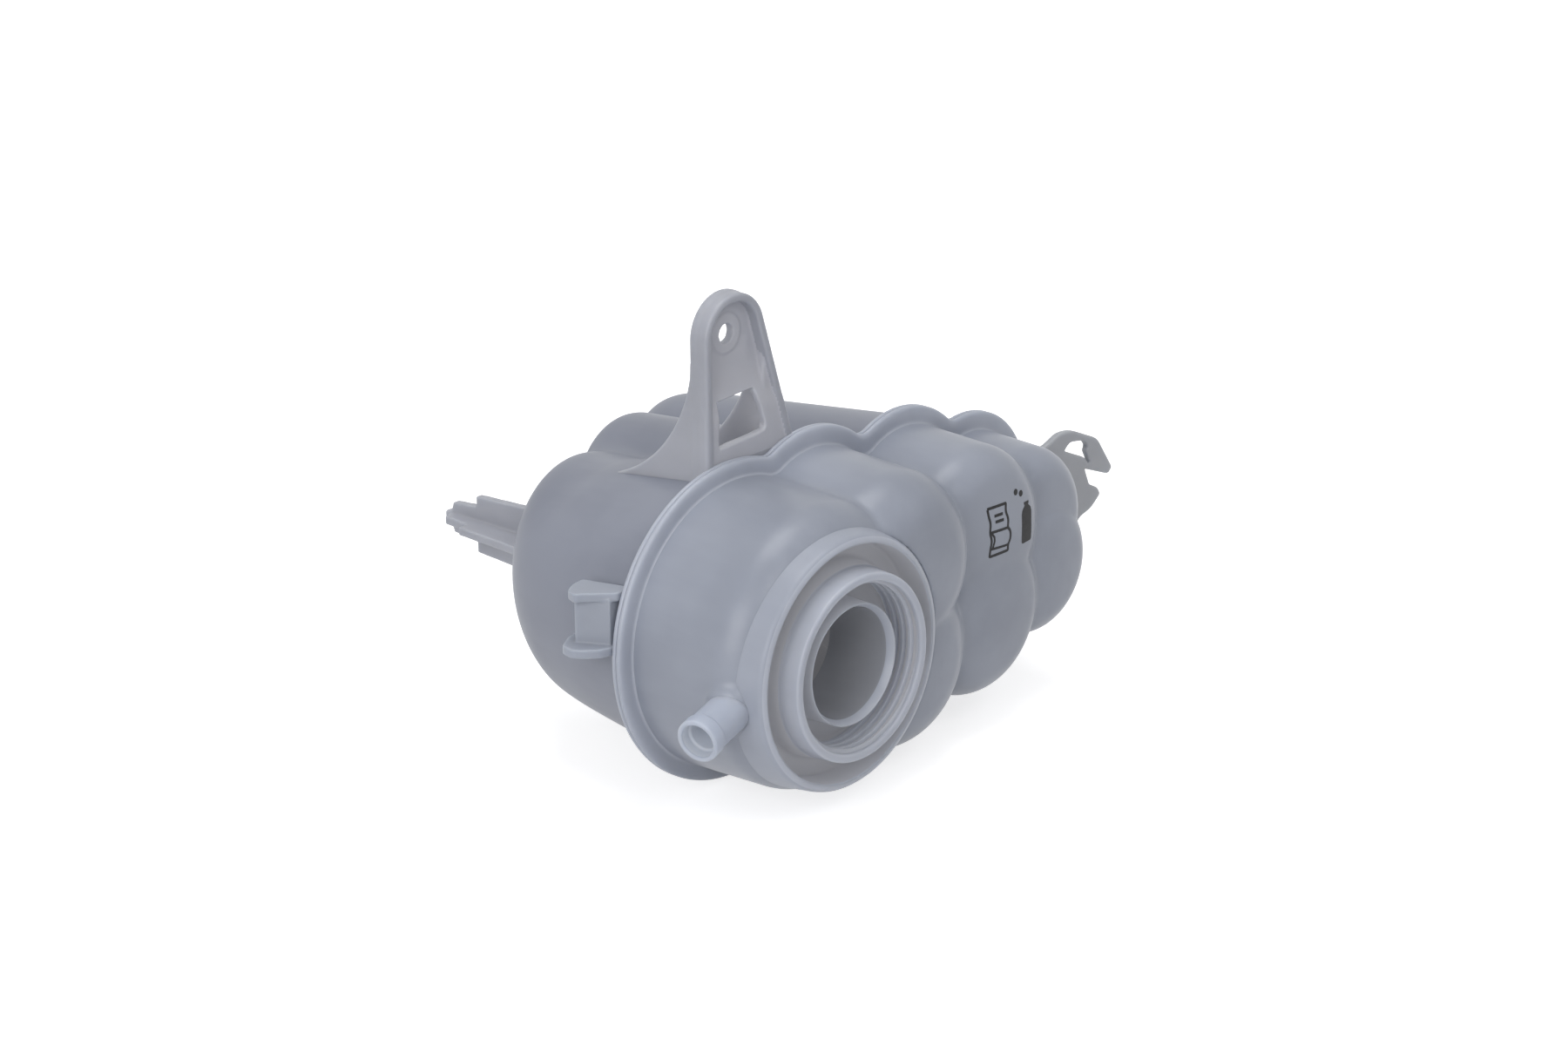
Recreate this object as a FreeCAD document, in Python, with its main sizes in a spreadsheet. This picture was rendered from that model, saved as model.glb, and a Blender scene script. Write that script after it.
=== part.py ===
"""Coolant expansion tank for a car: two moulded shells welded together at a flat rim.

The tank is a row of round lobes, one large one that carries the filler neck and
three pairs, upper and lower, that get smaller towards the mounting lug.
It is modelled about the axis of the large lobe and the weld plane, with X along the
row, Y along the mould draw (the filler neck points to -Y) and Z up.
At the end both shells are placed so that the centre of the filler mouth is the origin.
"""
import FreeCAD, Part
import math
import os

Vector = FreeCAD.Vector
Rotation = FreeCAD.Rotation

# Driving dimensions in millimetres, degrees where the name says angle

SIZES = {
    # common to both shells
    "wall": 3.0,
    "rim_thickness": 2.1,
    "filler_rim": 5.3,
    "first_rim": 6.2,
    "second_rim": 5.7,
    "third_rim": 5.8,
    "rim_dip_round": 5.0,
    "rim_edge_chamfer": 0.5,
    "valley_round": 6.0,
    "front_slope": 0.03,
    "rear_slope": 0.12,
    # large lobe with the filler neck
    "filler_radius": 47.2,
    "filler_front_drop": 0.8,
    "filler_front_depth": 52.0,
    "filler_front_round": 12.5,
    "filler_rear_depth": 75.0,
    "filler_rear_slope": 0.13,
    "filler_rear_dome": 54.0,
    "filler_rear_lift": 12.9,
    "filler_rear_drift": 3.6,
    "filler_rear_lift_start": 48.0,
    # first pair of lobes
    "first_run": 36.4,
    "first_upper_rise": 15.2,
    "first_lower_drop": 15.8,
    "first_radius": 32.1,
    "first_upper_depth": 50.0,
    "first_lower_depth": 48.4,
    "first_front_round": 17.5,
    "first_rear_depth": 86.0,
    "first_rear_round": 10.5,
    # second pair of lobes
    "second_gap": 44.4,
    "second_upper_rise": 12.8,
    "second_lower_drop": 13.4,
    "second_radius": 30.1,
    "second_upper_depth": 41.0,
    "second_lower_depth": 42.2,
    "second_front_round": 12.5,
    "second_rear_radius": 31.0,
    "second_rear_depth": 109.5,
    "second_rear_round": 17.0,
    # third pair of lobes
    "third_gap": 33.6,
    "third_upper_rise": 7.0,
    "third_lower_drop": 7.6,
    "third_radius": 25.3,
    "third_upper_depth": 34.5,
    "third_lower_depth": 37.5,
    "third_front_round": 10.5,
    "third_rear_depth": 34.0,
    "third_rear_round": 15.0,
    # filler neck, its collar and the tube inside it
    "neck_shift": -1.1,
    "neck_drop": 2.5,
    "neck_reach": 56.4,
    "neck_mouth_radius": 30.3,
    "neck_root_radius": 31.4,
    "neck_bore_radius": 27.4,
    "neck_lip_round": 0.8,
    "deck_depth": 41.5,
    "collar_depth": 51.5,
    "collar_root_radius": 43.4,
    "collar_mouth_radius": 41.2,
    "collar_bore_radius": 38.3,
    "collar_lip_round": 2.6,
    "tube_radius": 19.7,
    "tube_bore_radius": 18.0,
    "tube_depth": 52.6,
    "tube_inner_reach": 12.0,
    "tube_lip_round": 0.6,
    # hose nipple beside the filler neck
    "nipple_depth": 39.9,
    "nipple_angle": 190.0,
    "nipple_tilt_angle": 10.6,
    "nipple_reach": 18.4,
    "nipple_radius": 6.6,
    "nipple_bead_radius": 7.1,
    "nipple_bead_length": 5.0,
    "nipple_bore_radius": 5.3,
    # tall bracket with the bolt hole
    "bracket_hole_run": 5.2,
    "bracket_hole_rise": 91.2,
    "bracket_hole_radius": 3.2,
    "bracket_top_radius": 13.5,
    "bracket_lean_angle": 17.1,
    "bracket_depth": 8.0,
    "bracket_web": 2.5,
    "bracket_rib": 2.7,
    "bracket_recess_floor": 75.0,
    "bracket_root_rise": 36.0,
    "bracket_boss_radius": 6.2,
    "bracket_boss_proud": 0.8,
    "window_left": -1.4,
    "window_top": 71.0,
    "window_bottom": 57.0,
    "window_corner_round": 3.0,
    "gusset_thickness": 2.6,
    "gusset_right_run": 19.6,
    "gusset_top_rise": 82.0,
    "gusset_foot_depth": 37.5,
    "gusset_foot_rise": 41.5,
    "gusset_bow": 7.5,
    # clip on the side of the large lobe
    "clip_upper_rise": 18.6,
    "clip_lower_rise": 1.6,
    "clip_plate": 2.9,
    "clip_web": 2.5,
    "clip_width": 18.0,
    "clip_reach": 58.5,
    "clip_corner_round": 1.8,
    "clip_lower_extra": 2.4,
    # flat lug at the far end of the rim
    "lug_thickness": 2.6,
    # peg that plugs into the car body
    "peg_run": -5.0,
    "peg_rise": 7.0,
    "peg_root_half": 12.2,
    "peg_shoulder_half": 9.8,
    "peg_neck_half": 6.2,
    "peg_end_half": 5.2,
    "peg_tip_half": 1.6,
    "peg_shoulder_depth": 107.5,
    "peg_end_depth": 118.5,
    "peg_tip_depth": 121.8,
    "peg_rib": 3.2,
}

doc = FreeCAD.newDocument("coolant_expansion_tank")
sheet = doc.addObject("Spreadsheet::Sheet", "sizes")
for row, (alias, value) in enumerate(SIZES.items(), start=1):
    sheet.set("A%d" % row, alias)
    sheet.set("B%d" % row, str(value))
    sheet.setAlias("B%d" % row, alias)
doc.recompute()


def size(alias):
    """The value of one driving dimension, read from the sheet."""
    return float(sheet.get(alias))


def bind(item, **formulas):
    """Bind properties of a document object to formulas that name cells of the sheet."""
    for name, formula in formulas.items():
        item.setExpression(name.replace("__", "."), formula)


def fused(label, parts):
    """One solid out of several that overlap."""
    item = doc.addObject("Part::MultiFuse", label)
    item.Shapes = parts
    item.Refine = True
    doc.recompute()
    return item


def cut(label, base, tool):
    """The base less the tool."""
    item = doc.addObject("Part::Cut", label)
    item.Base = base
    item.Tool = tool
    item.Refine = True
    doc.recompute()
    return item


def drafted(label, side, run, rise, start, depth, start_radius, end_radius):
    """A cone along Y from one depth to another; side is -1 to the front, 1 to the rear."""
    item = doc.addObject("Part::Cone", label)
    turn = Rotation(Vector(1, 0, 0), -90 * side)
    item.Placement = FreeCAD.Placement(Vector(0, 0, 0), turn)
    bind(item, Radius1=start_radius, Radius2=end_radius, Height="(%s) - (%s)" % (depth, start),
         Placement__Base__x=run, Placement__Base__y="%d * (%s)" % (side, start),
         Placement__Base__z=rise)
    doc.recompute()
    return item


def drum(label, side, run, rise, start, depth, radius):
    """A straight cylinder along Y."""
    item = doc.addObject("Part::Cylinder", label)
    turn = Rotation(Vector(1, 0, 0), -90 * side)
    item.Placement = FreeCAD.Placement(Vector(0, 0, 0), turn)
    bind(item, Radius=radius, Height="(%s) - (%s)" % (depth, start),
         Placement__Base__x=run, Placement__Base__y="%d * (%s)" % (side, start),
         Placement__Base__z=rise)
    doc.recompute()
    return item


def edges_at(shape, depth):
    """Numbers of the edges that lie in the plane Y = depth."""
    found = []
    for number, edge in enumerate(shape.Edges, start=1):
        box = edge.BoundBox
        if box.YLength < 1e-6 and abs(box.YMin - depth) < 1e-4:
            found.append(number)
    return found


def rounded(label, base, radius):
    """Rounds the smaller end of a cone or the far end of a cylinder."""
    circles = [(edge.Curve.Radius, side_end(edge), number)
               for number, edge in enumerate(base.Shape.Edges, start=1) if isinstance(edge.Curve, Part.Circle)]
    number = min(circles)[2]
    item = doc.addObject("Part::Fillet", label)
    item.Base = base
    item.Edges = [(number, radius, radius)]
    doc.recompute()
    return item


def side_end(edge):
    """Minus the distance of an edge from the weld plane."""
    return -abs(edge.CenterOfMass.y)


def feature(label, shape):
    """A document object that holds a shape made by the functions below."""
    item = doc.addObject("Part::Feature", label)
    item.Shape = shape
    return item


def point(run, rise):
    return Vector(run, 0, rise)


def line(first, last):
    return Part.LineSegment(first, last).toShape()


# The lobes, named from the filler neck to the lug; each pair stands a gap past the one before

SECOND_RUN = "sizes.first_run + sizes.second_gap"
THIRD_RUN = "sizes.first_run + sizes.second_gap + sizes.third_gap"
LOBES = {
    "filler": ("0", "0", "sizes.filler_radius", "sizes.filler_radius"),
    "first_upper": ("sizes.first_run", "sizes.first_upper_rise", "sizes.first_radius", "sizes.first_radius"),
    "first_lower": ("sizes.first_run", "-sizes.first_lower_drop", "sizes.first_radius", "sizes.first_radius"),
    "second_upper": (SECOND_RUN, "sizes.second_upper_rise", "sizes.second_radius", "sizes.second_rear_radius"),
    "second_lower": (SECOND_RUN, "-sizes.second_lower_drop", "sizes.second_radius", "sizes.second_rear_radius"),
    "third_upper": (THIRD_RUN, "sizes.third_upper_rise", "sizes.third_radius", "sizes.third_radius"),
    "third_lower": (THIRD_RUN, "-sizes.third_lower_drop", "sizes.third_radius", "sizes.third_radius"),
}


def pair_of(name):
    return name.split("_")[0]


def front_lobe(name, inset):
    """One drafted lobe of the front with a round end; inset is 0 outside and the wall inside."""
    run, rise, radius, rear_radius = LOBES[name]
    if name == "filler":
        rise = "-sizes.filler_front_drop"
        depth = "sizes.filler_front_depth"
    else:
        depth = "sizes.%s_depth" % name
    corner = size("%s_front_round" % pair_of(name))
    label = "%s_front_%s" % (name, "outside" if inset == "0" else "inside")
    body = drafted(label, -1, run, rise, "0", "%s - %s" % (depth, inset), "%s - %s" % (radius, inset),
                   "%s - %s - sizes.front_slope * (%s - %s)" % (radius, inset, depth, inset))
    thin = 0.0 if inset == "0" else size("wall")
    return rounded(label + "_round", body, max(corner - thin, 0.5 * corner))


def rear_lobe(name, inset):
    """One drafted lobe of the rear with a round end."""
    run, rise, front_radius, radius = LOBES[name]
    depth = "sizes.%s_rear_depth" % pair_of(name)
    corner = size("%s_rear_round" % pair_of(name))
    label = "%s_rear_%s" % (name, "outside" if inset == "0" else "inside")
    body = drafted(label, 1, run, rise, "0", "%s - %s" % (depth, inset), "%s - %s" % (radius, inset),
                   "%s - %s - sizes.rear_slope * (%s - %s)" % (radius, inset, depth, inset))
    thin = 0.0 if inset == "0" else size("wall")
    return rounded(label + "_round", body, max(corner - thin, 0.5 * corner))


def dome_station(part, inset):
    """Depth, radius, drift and lift of one round section of the large rear dome.

    The radius is the drafted radius times (1 - u ** 4) ** 0.25, where u runs from 0 where
    the dome starts to 1 at its end. The centre moves with the square of the depth past
    the lift's start, so the end looks slightly up.
    """
    whole = size("filler_rear_depth") - inset
    depth = part * whole
    along = max(0.0, 1 - (whole - depth) / size("filler_rear_dome"))
    straight = size("filler_radius") - inset - size("filler_rear_slope") * depth
    radius = straight * (1 - along ** 4) ** 0.25
    lift_start = size("filler_rear_lift_start")
    past = max(0.0, (depth - lift_start) / (whole - lift_start)) ** 2
    return depth, radius, size("filler_rear_drift") * past, size("filler_rear_lift") * past


def rear_dome(label, inset):
    """The large lobe's rear half: a loft through round sections that shrink and lift."""
    sections = []
    for number, part in enumerate((0.0, 0.2, 0.4, 0.56, 0.7, 0.81, 0.89, 0.945, 0.98, 0.997)):
        depth, radius, drift, lift = dome_station(part, inset)
        ring = doc.addObject("Part::Circle", "%s_section_%d" % (label, number))
        ring.Radius = radius
        ring.Placement = FreeCAD.Placement(Vector(drift, depth, lift), Rotation(Vector(1, 0, 0), -90))
        sections.append(ring)
    loft = doc.addObject("Part::Loft", label)
    loft.Sections = sections
    loft.Solid = True
    loft.Ruled = False
    doc.recompute()
    return loft


def concave(shape, edge):
    """True where two faces of the solid meet along the edge in a valley."""
    faces = [face for face in shape.Faces if any(edge.isSame(other) for other in face.Edges)]
    if len(faces) != 2:
        return False
    middle = edge.valueAt((edge.FirstParameter + edge.LastParameter) / 2)
    normals = [face.normalAt(*face.Surface.parameter(middle)) for face in faces]
    if normals[0].dot(normals[1]) > 0.985:
        return False
    along = normals[0].cross(normals[1]).normalize()
    across = normals[0].cross(along).normalize()
    probe = 0.6
    sink = normals[0] * -0.05
    return all(shape.isInside(middle + across * step + sink, 1e-6, True) for step in (probe, -probe))


def soft_valleys(label, base, radius, shortest=1.0):
    """Rounds the valleys between the lobes."""
    item = doc.addObject("Part::Fillet", label)
    item.Base = base
    item.Edges = [(number, radius, radius) for number, edge in enumerate(base.Shape.Edges, start=1)
                  if edge.Length > shortest and concave(base.Shape, edge)]
    doc.recompute()
    return item


def rim(side):
    """The flat weld rim of one shell, which follows the lobes at a fixed distance."""
    word = "front" if side < 0 else "rear"
    discs = [drum("%s_%s_rim" % (name, word), side, run, rise, "0", "sizes.rim_thickness",
                  "%s + sizes.%s_rim" % (radius, pair_of(name)))
             for name, (run, rise, radius, rear_radius) in LOBES.items()]
    plate = fused(word + "_rim_discs", discs)
    item = soft_valleys(word + "_rim", plate, size("rim_dip_round"))
    edges = edges_at(item.Shape, 0.0)
    chamfer = doc.addObject("Part::Chamfer", word + "_rim_bevelled")
    chamfer.Base = item
    bevel = size("rim_edge_chamfer")
    chamfer.Edges = [(number, bevel, bevel) for number in edges]
    doc.recompute()
    return chamfer


# Front shell: filler neck, collar, tube and hose nipple are moulded in one with it

NECK_RUN = "sizes.neck_shift"
NECK_RISE = "-sizes.neck_drop"


def collar():
    """The ring that stands around the filler neck."""
    body = drafted("collar_ring", -1, NECK_RUN, NECK_RISE, "sizes.deck_depth - 2 * sizes.wall",
                   "sizes.collar_depth", "sizes.collar_root_radius", "sizes.collar_mouth_radius")
    return rounded("collar_ring_round", body, size("collar_lip_round"))


def nipple_axis():
    """Point on the lobe's wall where the nipple starts, and its outward direction."""
    angle = math.radians(size("nipple_angle"))
    tilt = math.radians(size("nipple_tilt_angle"))
    radial = Vector(math.cos(angle), 0, math.sin(angle))
    wall = size("filler_radius") - size("front_slope") * size("nipple_depth") - 0.7
    root = radial * wall + Vector(0, -size("nipple_depth"), 0)
    return root, (radial * math.cos(tilt) + Vector(0, -math.sin(tilt), 0)).normalize()


def nipple():
    """The hose nipple with its end bead, from inside the wall to its mouth."""
    root, way = nipple_axis()
    sink = size("wall") * 0.9
    reach = size("nipple_reach")
    bead = size("nipple_bead_length")
    stem = Part.makeCylinder(size("nipple_radius"), reach + sink, root - way * sink, way)
    sleeve = Part.makeCylinder(size("nipple_bead_radius"), bead, root + way * (reach - bead), way)
    body = stem.fuse(sleeve).removeSplitter()
    mouth = root + way * reach
    lip = [edge for edge in body.Edges if abs(edge.Length - 2 * math.pi * size("nipple_bead_radius")) < 1e-3
           and (edge.CenterOfMass - mouth).Length < 1e-3]
    return feature("hose_nipple", body.makeFillet(0.5, lip))


def nipple_bore():
    """The bore of the nipple, as far as the coolant space beside the neck's deck."""
    root, way = nipple_axis()
    inner = math.hypot(root.x, root.z) - (size("collar_bore_radius") + 2.4)
    return feature("hose_nipple_bore",
                   Part.makeCylinder(size("nipple_bore_radius"), size("nipple_reach") + inner + 1,
                                     root - way * inner, way))


def front_shell():
    outside = fused("front_lobes", [front_lobe(name, "0") for name in LOBES])
    outside = soft_valleys("front_lobes_soft", outside, size("valley_round"))
    raised = fused("front_outside", [outside, rim(-1), collar(), nipple()])
    lobes_inside = fused("front_lobes_inside", [front_lobe(name, "sizes.wall") for name in LOBES])
    well = drum("neck_well", -1, NECK_RUN, NECK_RISE, "sizes.deck_depth - sizes.wall", "sizes.collar_depth + 10",
                "sizes.collar_bore_radius + sizes.wall")
    inside = cut("front_coolant_space", lobes_inside, well)
    moat = drum("collar_bore", -1, NECK_RUN, NECK_RISE, "sizes.deck_depth", "sizes.collar_depth + 10",
                "sizes.collar_bore_radius")
    space = fused("front_space", [inside, moat, nipple_bore()])
    hollow = cut("front_hollow", raised, space)
    neck = drafted("filler_neck_outside", -1, NECK_RUN, NECK_RISE, "sizes.deck_depth - 0.5 * sizes.wall",
                   "sizes.neck_reach", "sizes.neck_root_radius", "sizes.neck_mouth_radius")
    neck = rounded("filler_neck_lip", neck, size("neck_lip_round"))
    bore = drum("filler_neck_bore", -1, NECK_RUN, NECK_RISE, "sizes.deck_depth", "sizes.neck_reach + 5",
                "sizes.neck_bore_radius")
    neck = cut("filler_neck", neck, bore)
    tube = drum("standing_tube_outside", -1, NECK_RUN, NECK_RISE,
                "sizes.deck_depth - sizes.wall - sizes.tube_inner_reach", "sizes.tube_depth", "sizes.tube_radius")
    tube = rounded("standing_tube_lip", tube, size("tube_lip_round"))
    hole = drum("standing_tube_bore", -1, NECK_RUN, NECK_RISE, "0", "sizes.tube_depth + 5",
                "sizes.tube_bore_radius")
    return cut("front_shell", fused("front_with_neck", [hollow, neck, tube]), hole)


# Rear shell: bracket, clip, lug and peg are moulded in one with it


def plate_between(wire, start, end):
    """A flat plate whose outline is a closed wire in the plane Y = 0."""
    face = Part.Face(wire)
    face.translate(Vector(0, start, 0))
    return face.extrude(Vector(0, end - start, 0))


def bracket_outline(inset):
    """Round top over the bolt hole, an upright left edge and a leaning right edge."""
    run = size("bracket_hole_run")
    rise = size("bracket_hole_rise")
    radius = size("bracket_top_radius") - inset
    lean = math.radians(size("bracket_lean_angle"))
    left = point(run - radius, rise)
    top = point(run, rise + radius)
    right = point(run + radius * math.cos(lean), rise + radius * math.sin(lean))
    floor = size("bracket_root_rise") if inset == 0 else size("bracket_recess_floor")
    foot = point(right.x + (right.z - floor) * math.tan(lean), floor)
    corner = point(run - radius, floor)
    return Part.Wire([Part.Arc(left, top, right).toShape(), line(right, foot), line(foot, corner),
                      line(corner, left)])


def window_outline():
    """The opening below the recess, with its right side parallel to the leaning edge."""
    lean = math.radians(size("bracket_lean_angle"))
    left = size("window_left")
    top = size("window_top")
    bottom = size("window_bottom")
    run = size("bracket_hole_run")
    edge = run + size("bracket_top_radius") / math.cos(lean)
    side = edge - 3.8 * size("bracket_rib")
    right_top = point(side + (size("bracket_hole_rise") - top) * math.tan(lean), top)
    right_bottom = point(side + (size("bracket_hole_rise") - bottom) * math.tan(lean), bottom)
    corners = [point(left, bottom), right_bottom, right_top, point(left, top)]
    return Part.makePolygon(corners + corners[:1])


def window_block(start, end):
    """The window's solid, with its lower right corner rounded as far as the mould's radius."""
    block = plate_between(window_outline(), start, end)
    bottom = size("window_bottom")
    corner = [edge for edge in block.Edges if edge.BoundBox.YLength > end - start - 1
              and abs(edge.CenterOfMass.z - bottom) < 0.1 and edge.CenterOfMass.x > size("window_left") + 1]
    return block.makeFillet(size("window_corner_round"), corner)


def gusset(start):
    """A fin behind the bracket whose free edge sweeps down to the lobe's crest."""
    back = size("bracket_depth")
    top = Vector(start, back - size("bracket_web"), size("gusset_top_rise"))
    edge_top = Vector(start, back, size("gusset_top_rise"))
    foot = Vector(start, size("gusset_foot_depth"), size("gusset_foot_rise"))
    middle = (edge_top + foot) * 0.5 - Vector(0, 0.8, 0.6) * size("gusset_bow")
    low = Vector(start, size("gusset_foot_depth"), size("bracket_root_rise"))
    corner = Vector(start, back - size("bracket_web"), size("bracket_root_rise"))
    wire = Part.Wire([line(top, edge_top), Part.Arc(edge_top, middle, foot).toShape(), line(foot, low),
                      line(low, corner), line(corner, top)])
    return Part.Face(wire).extrude(Vector(size("gusset_thickness"), 0, 0))


def bracket():
    """The tall bracket: a deep rim, a recessed web with the bolt hole, a window and two fins."""
    front = size("rim_thickness")
    back = size("bracket_depth")
    solid = plate_between(bracket_outline(0), 0.0, back)
    recess = plate_between(bracket_outline(size("bracket_rib")), 0.0, back - size("bracket_web"))
    floor = point(size("bracket_hole_run"), size("bracket_hole_rise"))
    hole = Part.makeCylinder(size("bracket_hole_radius"), back + 10, floor - Vector(0, 5, 0), Vector(0, 1, 0))
    boss = Part.makeCylinder(size("bracket_boss_radius"), size("bracket_boss_proud") + 0.5,
                             floor + Vector(0, back - size("bracket_web") - size("bracket_boss_proud"), 0),
                             Vector(0, 1, 0))
    window = window_block(-5.0, back + 5)
    left = size("bracket_hole_run") - size("bracket_top_radius")
    shape = solid.cut(recess).fuse([boss, gusset(left), gusset(size("gusset_right_run"))])
    shape = shape.cut([hole, window]).removeSplitter()
    ahead = Part.makeBox(200, front + 10, 300, Vector(-100, -10, 0))
    return feature("bracket", shape.cut(ahead))


def clip_plate(base, reach, width):
    """One plate of the clip: a rounded tongue that stands out from the large lobe."""
    inner = -size("filler_radius") + 14
    front = size("rim_thickness")
    skew = front + width * 0.42
    corners = [Vector(inner, front, base), Vector(-size("filler_radius") - 2.0, front, base),
               Vector(-reach, skew, base), Vector(-reach + 1.0, front + width * 0.8, base),
               Vector(-reach + 6.0, front + width, base), Vector(inner, front + width, base)]
    shape = Part.Face(Part.makePolygon(corners + corners[:1])).extrude(Vector(0, 0, size("clip_plate")))
    upright = [edge for edge in shape.Edges if edge.BoundBox.ZLength > 0.9 * size("clip_plate")
               and edge.CenterOfMass.x < -size("filler_radius") - 1]
    return shape.makeFillet(size("clip_corner_round"), upright)


def clip():
    """Two plates joined by an upright web, to hold a cable against the tank."""
    upper = size("clip_upper_rise")
    lower = size("clip_lower_rise")
    plates = [clip_plate(upper, size("clip_reach"), size("clip_width")),
              clip_plate(lower, size("clip_reach") + size("clip_lower_extra"), size("clip_width") + 1.5)]
    front = size("rim_thickness")
    thick = size("clip_web")
    radius = size("filler_radius")
    corners = [Vector(-radius + 12, front, lower), Vector(-radius - 2.6, front, lower),
               Vector(-size("clip_reach") + 2.2, front + 9.0, lower),
               Vector(-size("clip_reach") + 3.4, front + 9.0 + thick, lower),
               Vector(-radius + 12, front + 9.0 + thick, lower)]
    web = Part.Face(Part.makePolygon(corners + corners[:1])).extrude(Vector(0, 0, upper - lower + 1))
    return feature("clip", plates[0].fuse([plates[1], web]).removeSplitter())


def lug():
    """The flat lug beyond the smallest lobes, with a hooked loop and a short tab.

    Its points are given from the edge of the smallest lobes' rim.
    """
    edge = size("first_run") + size("second_gap") + size("third_gap") + size("third_radius") + size("third_rim")
    outline = [(-7.5, -22.0), (4.5, 13.0), (14.9, 15.0), (20.5, 17.4), (27.5, 16.8), (41.5, 10.4),
               (50.1, -2.4), (47.9, -4.4), (34.8, 0.9), (37.4, -5.4), (42.1, -7.8), (43.7, -10.6),
               (38.5, -14.6), (32.5, -16.0), (22.5, -26.0), (4.5, -27.0)]
    opening = [(23.3, 10.4), (26.5, 12.8), (34.3, 11.4), (36.4, 8.8), (35.5, 7.0), (37.7, 2.8),
               (36.8, 2.4), (34.7, 5.0), (33.1, 5.9)]
    border = [point(edge + run, rise) for run, rise in outline + outline[:1]]
    inner = [point(edge + run, rise) for run, rise in opening + opening[:1]]
    solid = plate_between(Part.makePolygon(border), 0.0, size("lug_thickness"))
    hole = plate_between(Part.makePolygon(inner), -1.0, size("lug_thickness") + 1)
    return feature("lug", solid.cut(hole))


def peg_rib(upright):
    """One rib of the cross-shaped peg, in two tapered steps and a short tip."""
    start = size("filler_rear_depth") - 12
    half = size("peg_rib") / 2
    steps = [(start, size("peg_root_half")), (size("peg_shoulder_depth"), size("peg_shoulder_half")),
             (size("peg_shoulder_depth"), size("peg_neck_half")), (size("peg_end_depth"), size("peg_end_half")),
             (size("peg_end_depth"), size("peg_tip_half") + 0.8), (size("peg_tip_depth"), size("peg_tip_half"))]
    ring = steps + [(depth, -reach) for depth, reach in reversed(steps)]
    centre = Vector(size("peg_run"), 0, size("peg_rise"))
    if upright:
        corners = [centre + Vector(-half, depth, reach) for depth, reach in ring]
        way = Vector(2 * half, 0, 0)
    else:
        corners = [centre + Vector(reach, depth, -half) for depth, reach in ring]
        way = Vector(0, 0, 2 * half)
    return Part.Face(Part.makePolygon(corners + corners[:1])).extrude(way)


def peg():
    return feature("peg", peg_rib(True).fuse(peg_rib(False)).removeSplitter())


def rear_shell():
    names = [name for name in LOBES if name != "filler"]
    lobes = soft_valleys("rear_lobes_soft", fused("rear_lobes", [rear_lobe(name, "0") for name in names]),
                         size("valley_round"))
    raised = fused("rear_outside", [lobes, rear_dome("filler_rear_outside", 0.0), rim(1), bracket(), clip(),
                                    lug(), peg()])
    inside = [rear_dome("filler_rear_inside", size("wall"))] + [rear_lobe(name, "sizes.wall") for name in names]
    return cut("rear_shell", raised, fused("rear_space", inside))


def check(item):
    """Stops with a plain message if a piece failed."""
    if "Invalid" in item.State or "Error" in item.State:
        raise ValueError("%s: %s" % (item.Label, item.State))
    if item.Shape.isNull() or not item.Shape.isValid():
        raise ValueError("%s: no valid shape" % item.Label)


pieces = [front_shell(), rear_shell()]
for item in doc.Objects:
    if item.TypeId.startswith("Part::"):
        check(item)

# The centre of the filler mouth becomes the origin

origin = Vector(-size("neck_shift"), size("neck_reach"), size("neck_drop"))
os.makedirs("parts", exist_ok=True)
for piece in pieces:
    piece.Placement = FreeCAD.Placement(origin, Rotation())
    print(piece.Label, "solids", len(piece.Shape.Solids), "volume", round(piece.Shape.Volume),
          "faces", len(piece.Shape.Faces), piece.Shape.BoundBox)
    piece.Shape.exportStep("parts/%s.step" % piece.Label)
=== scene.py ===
# %% [markdown]
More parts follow.
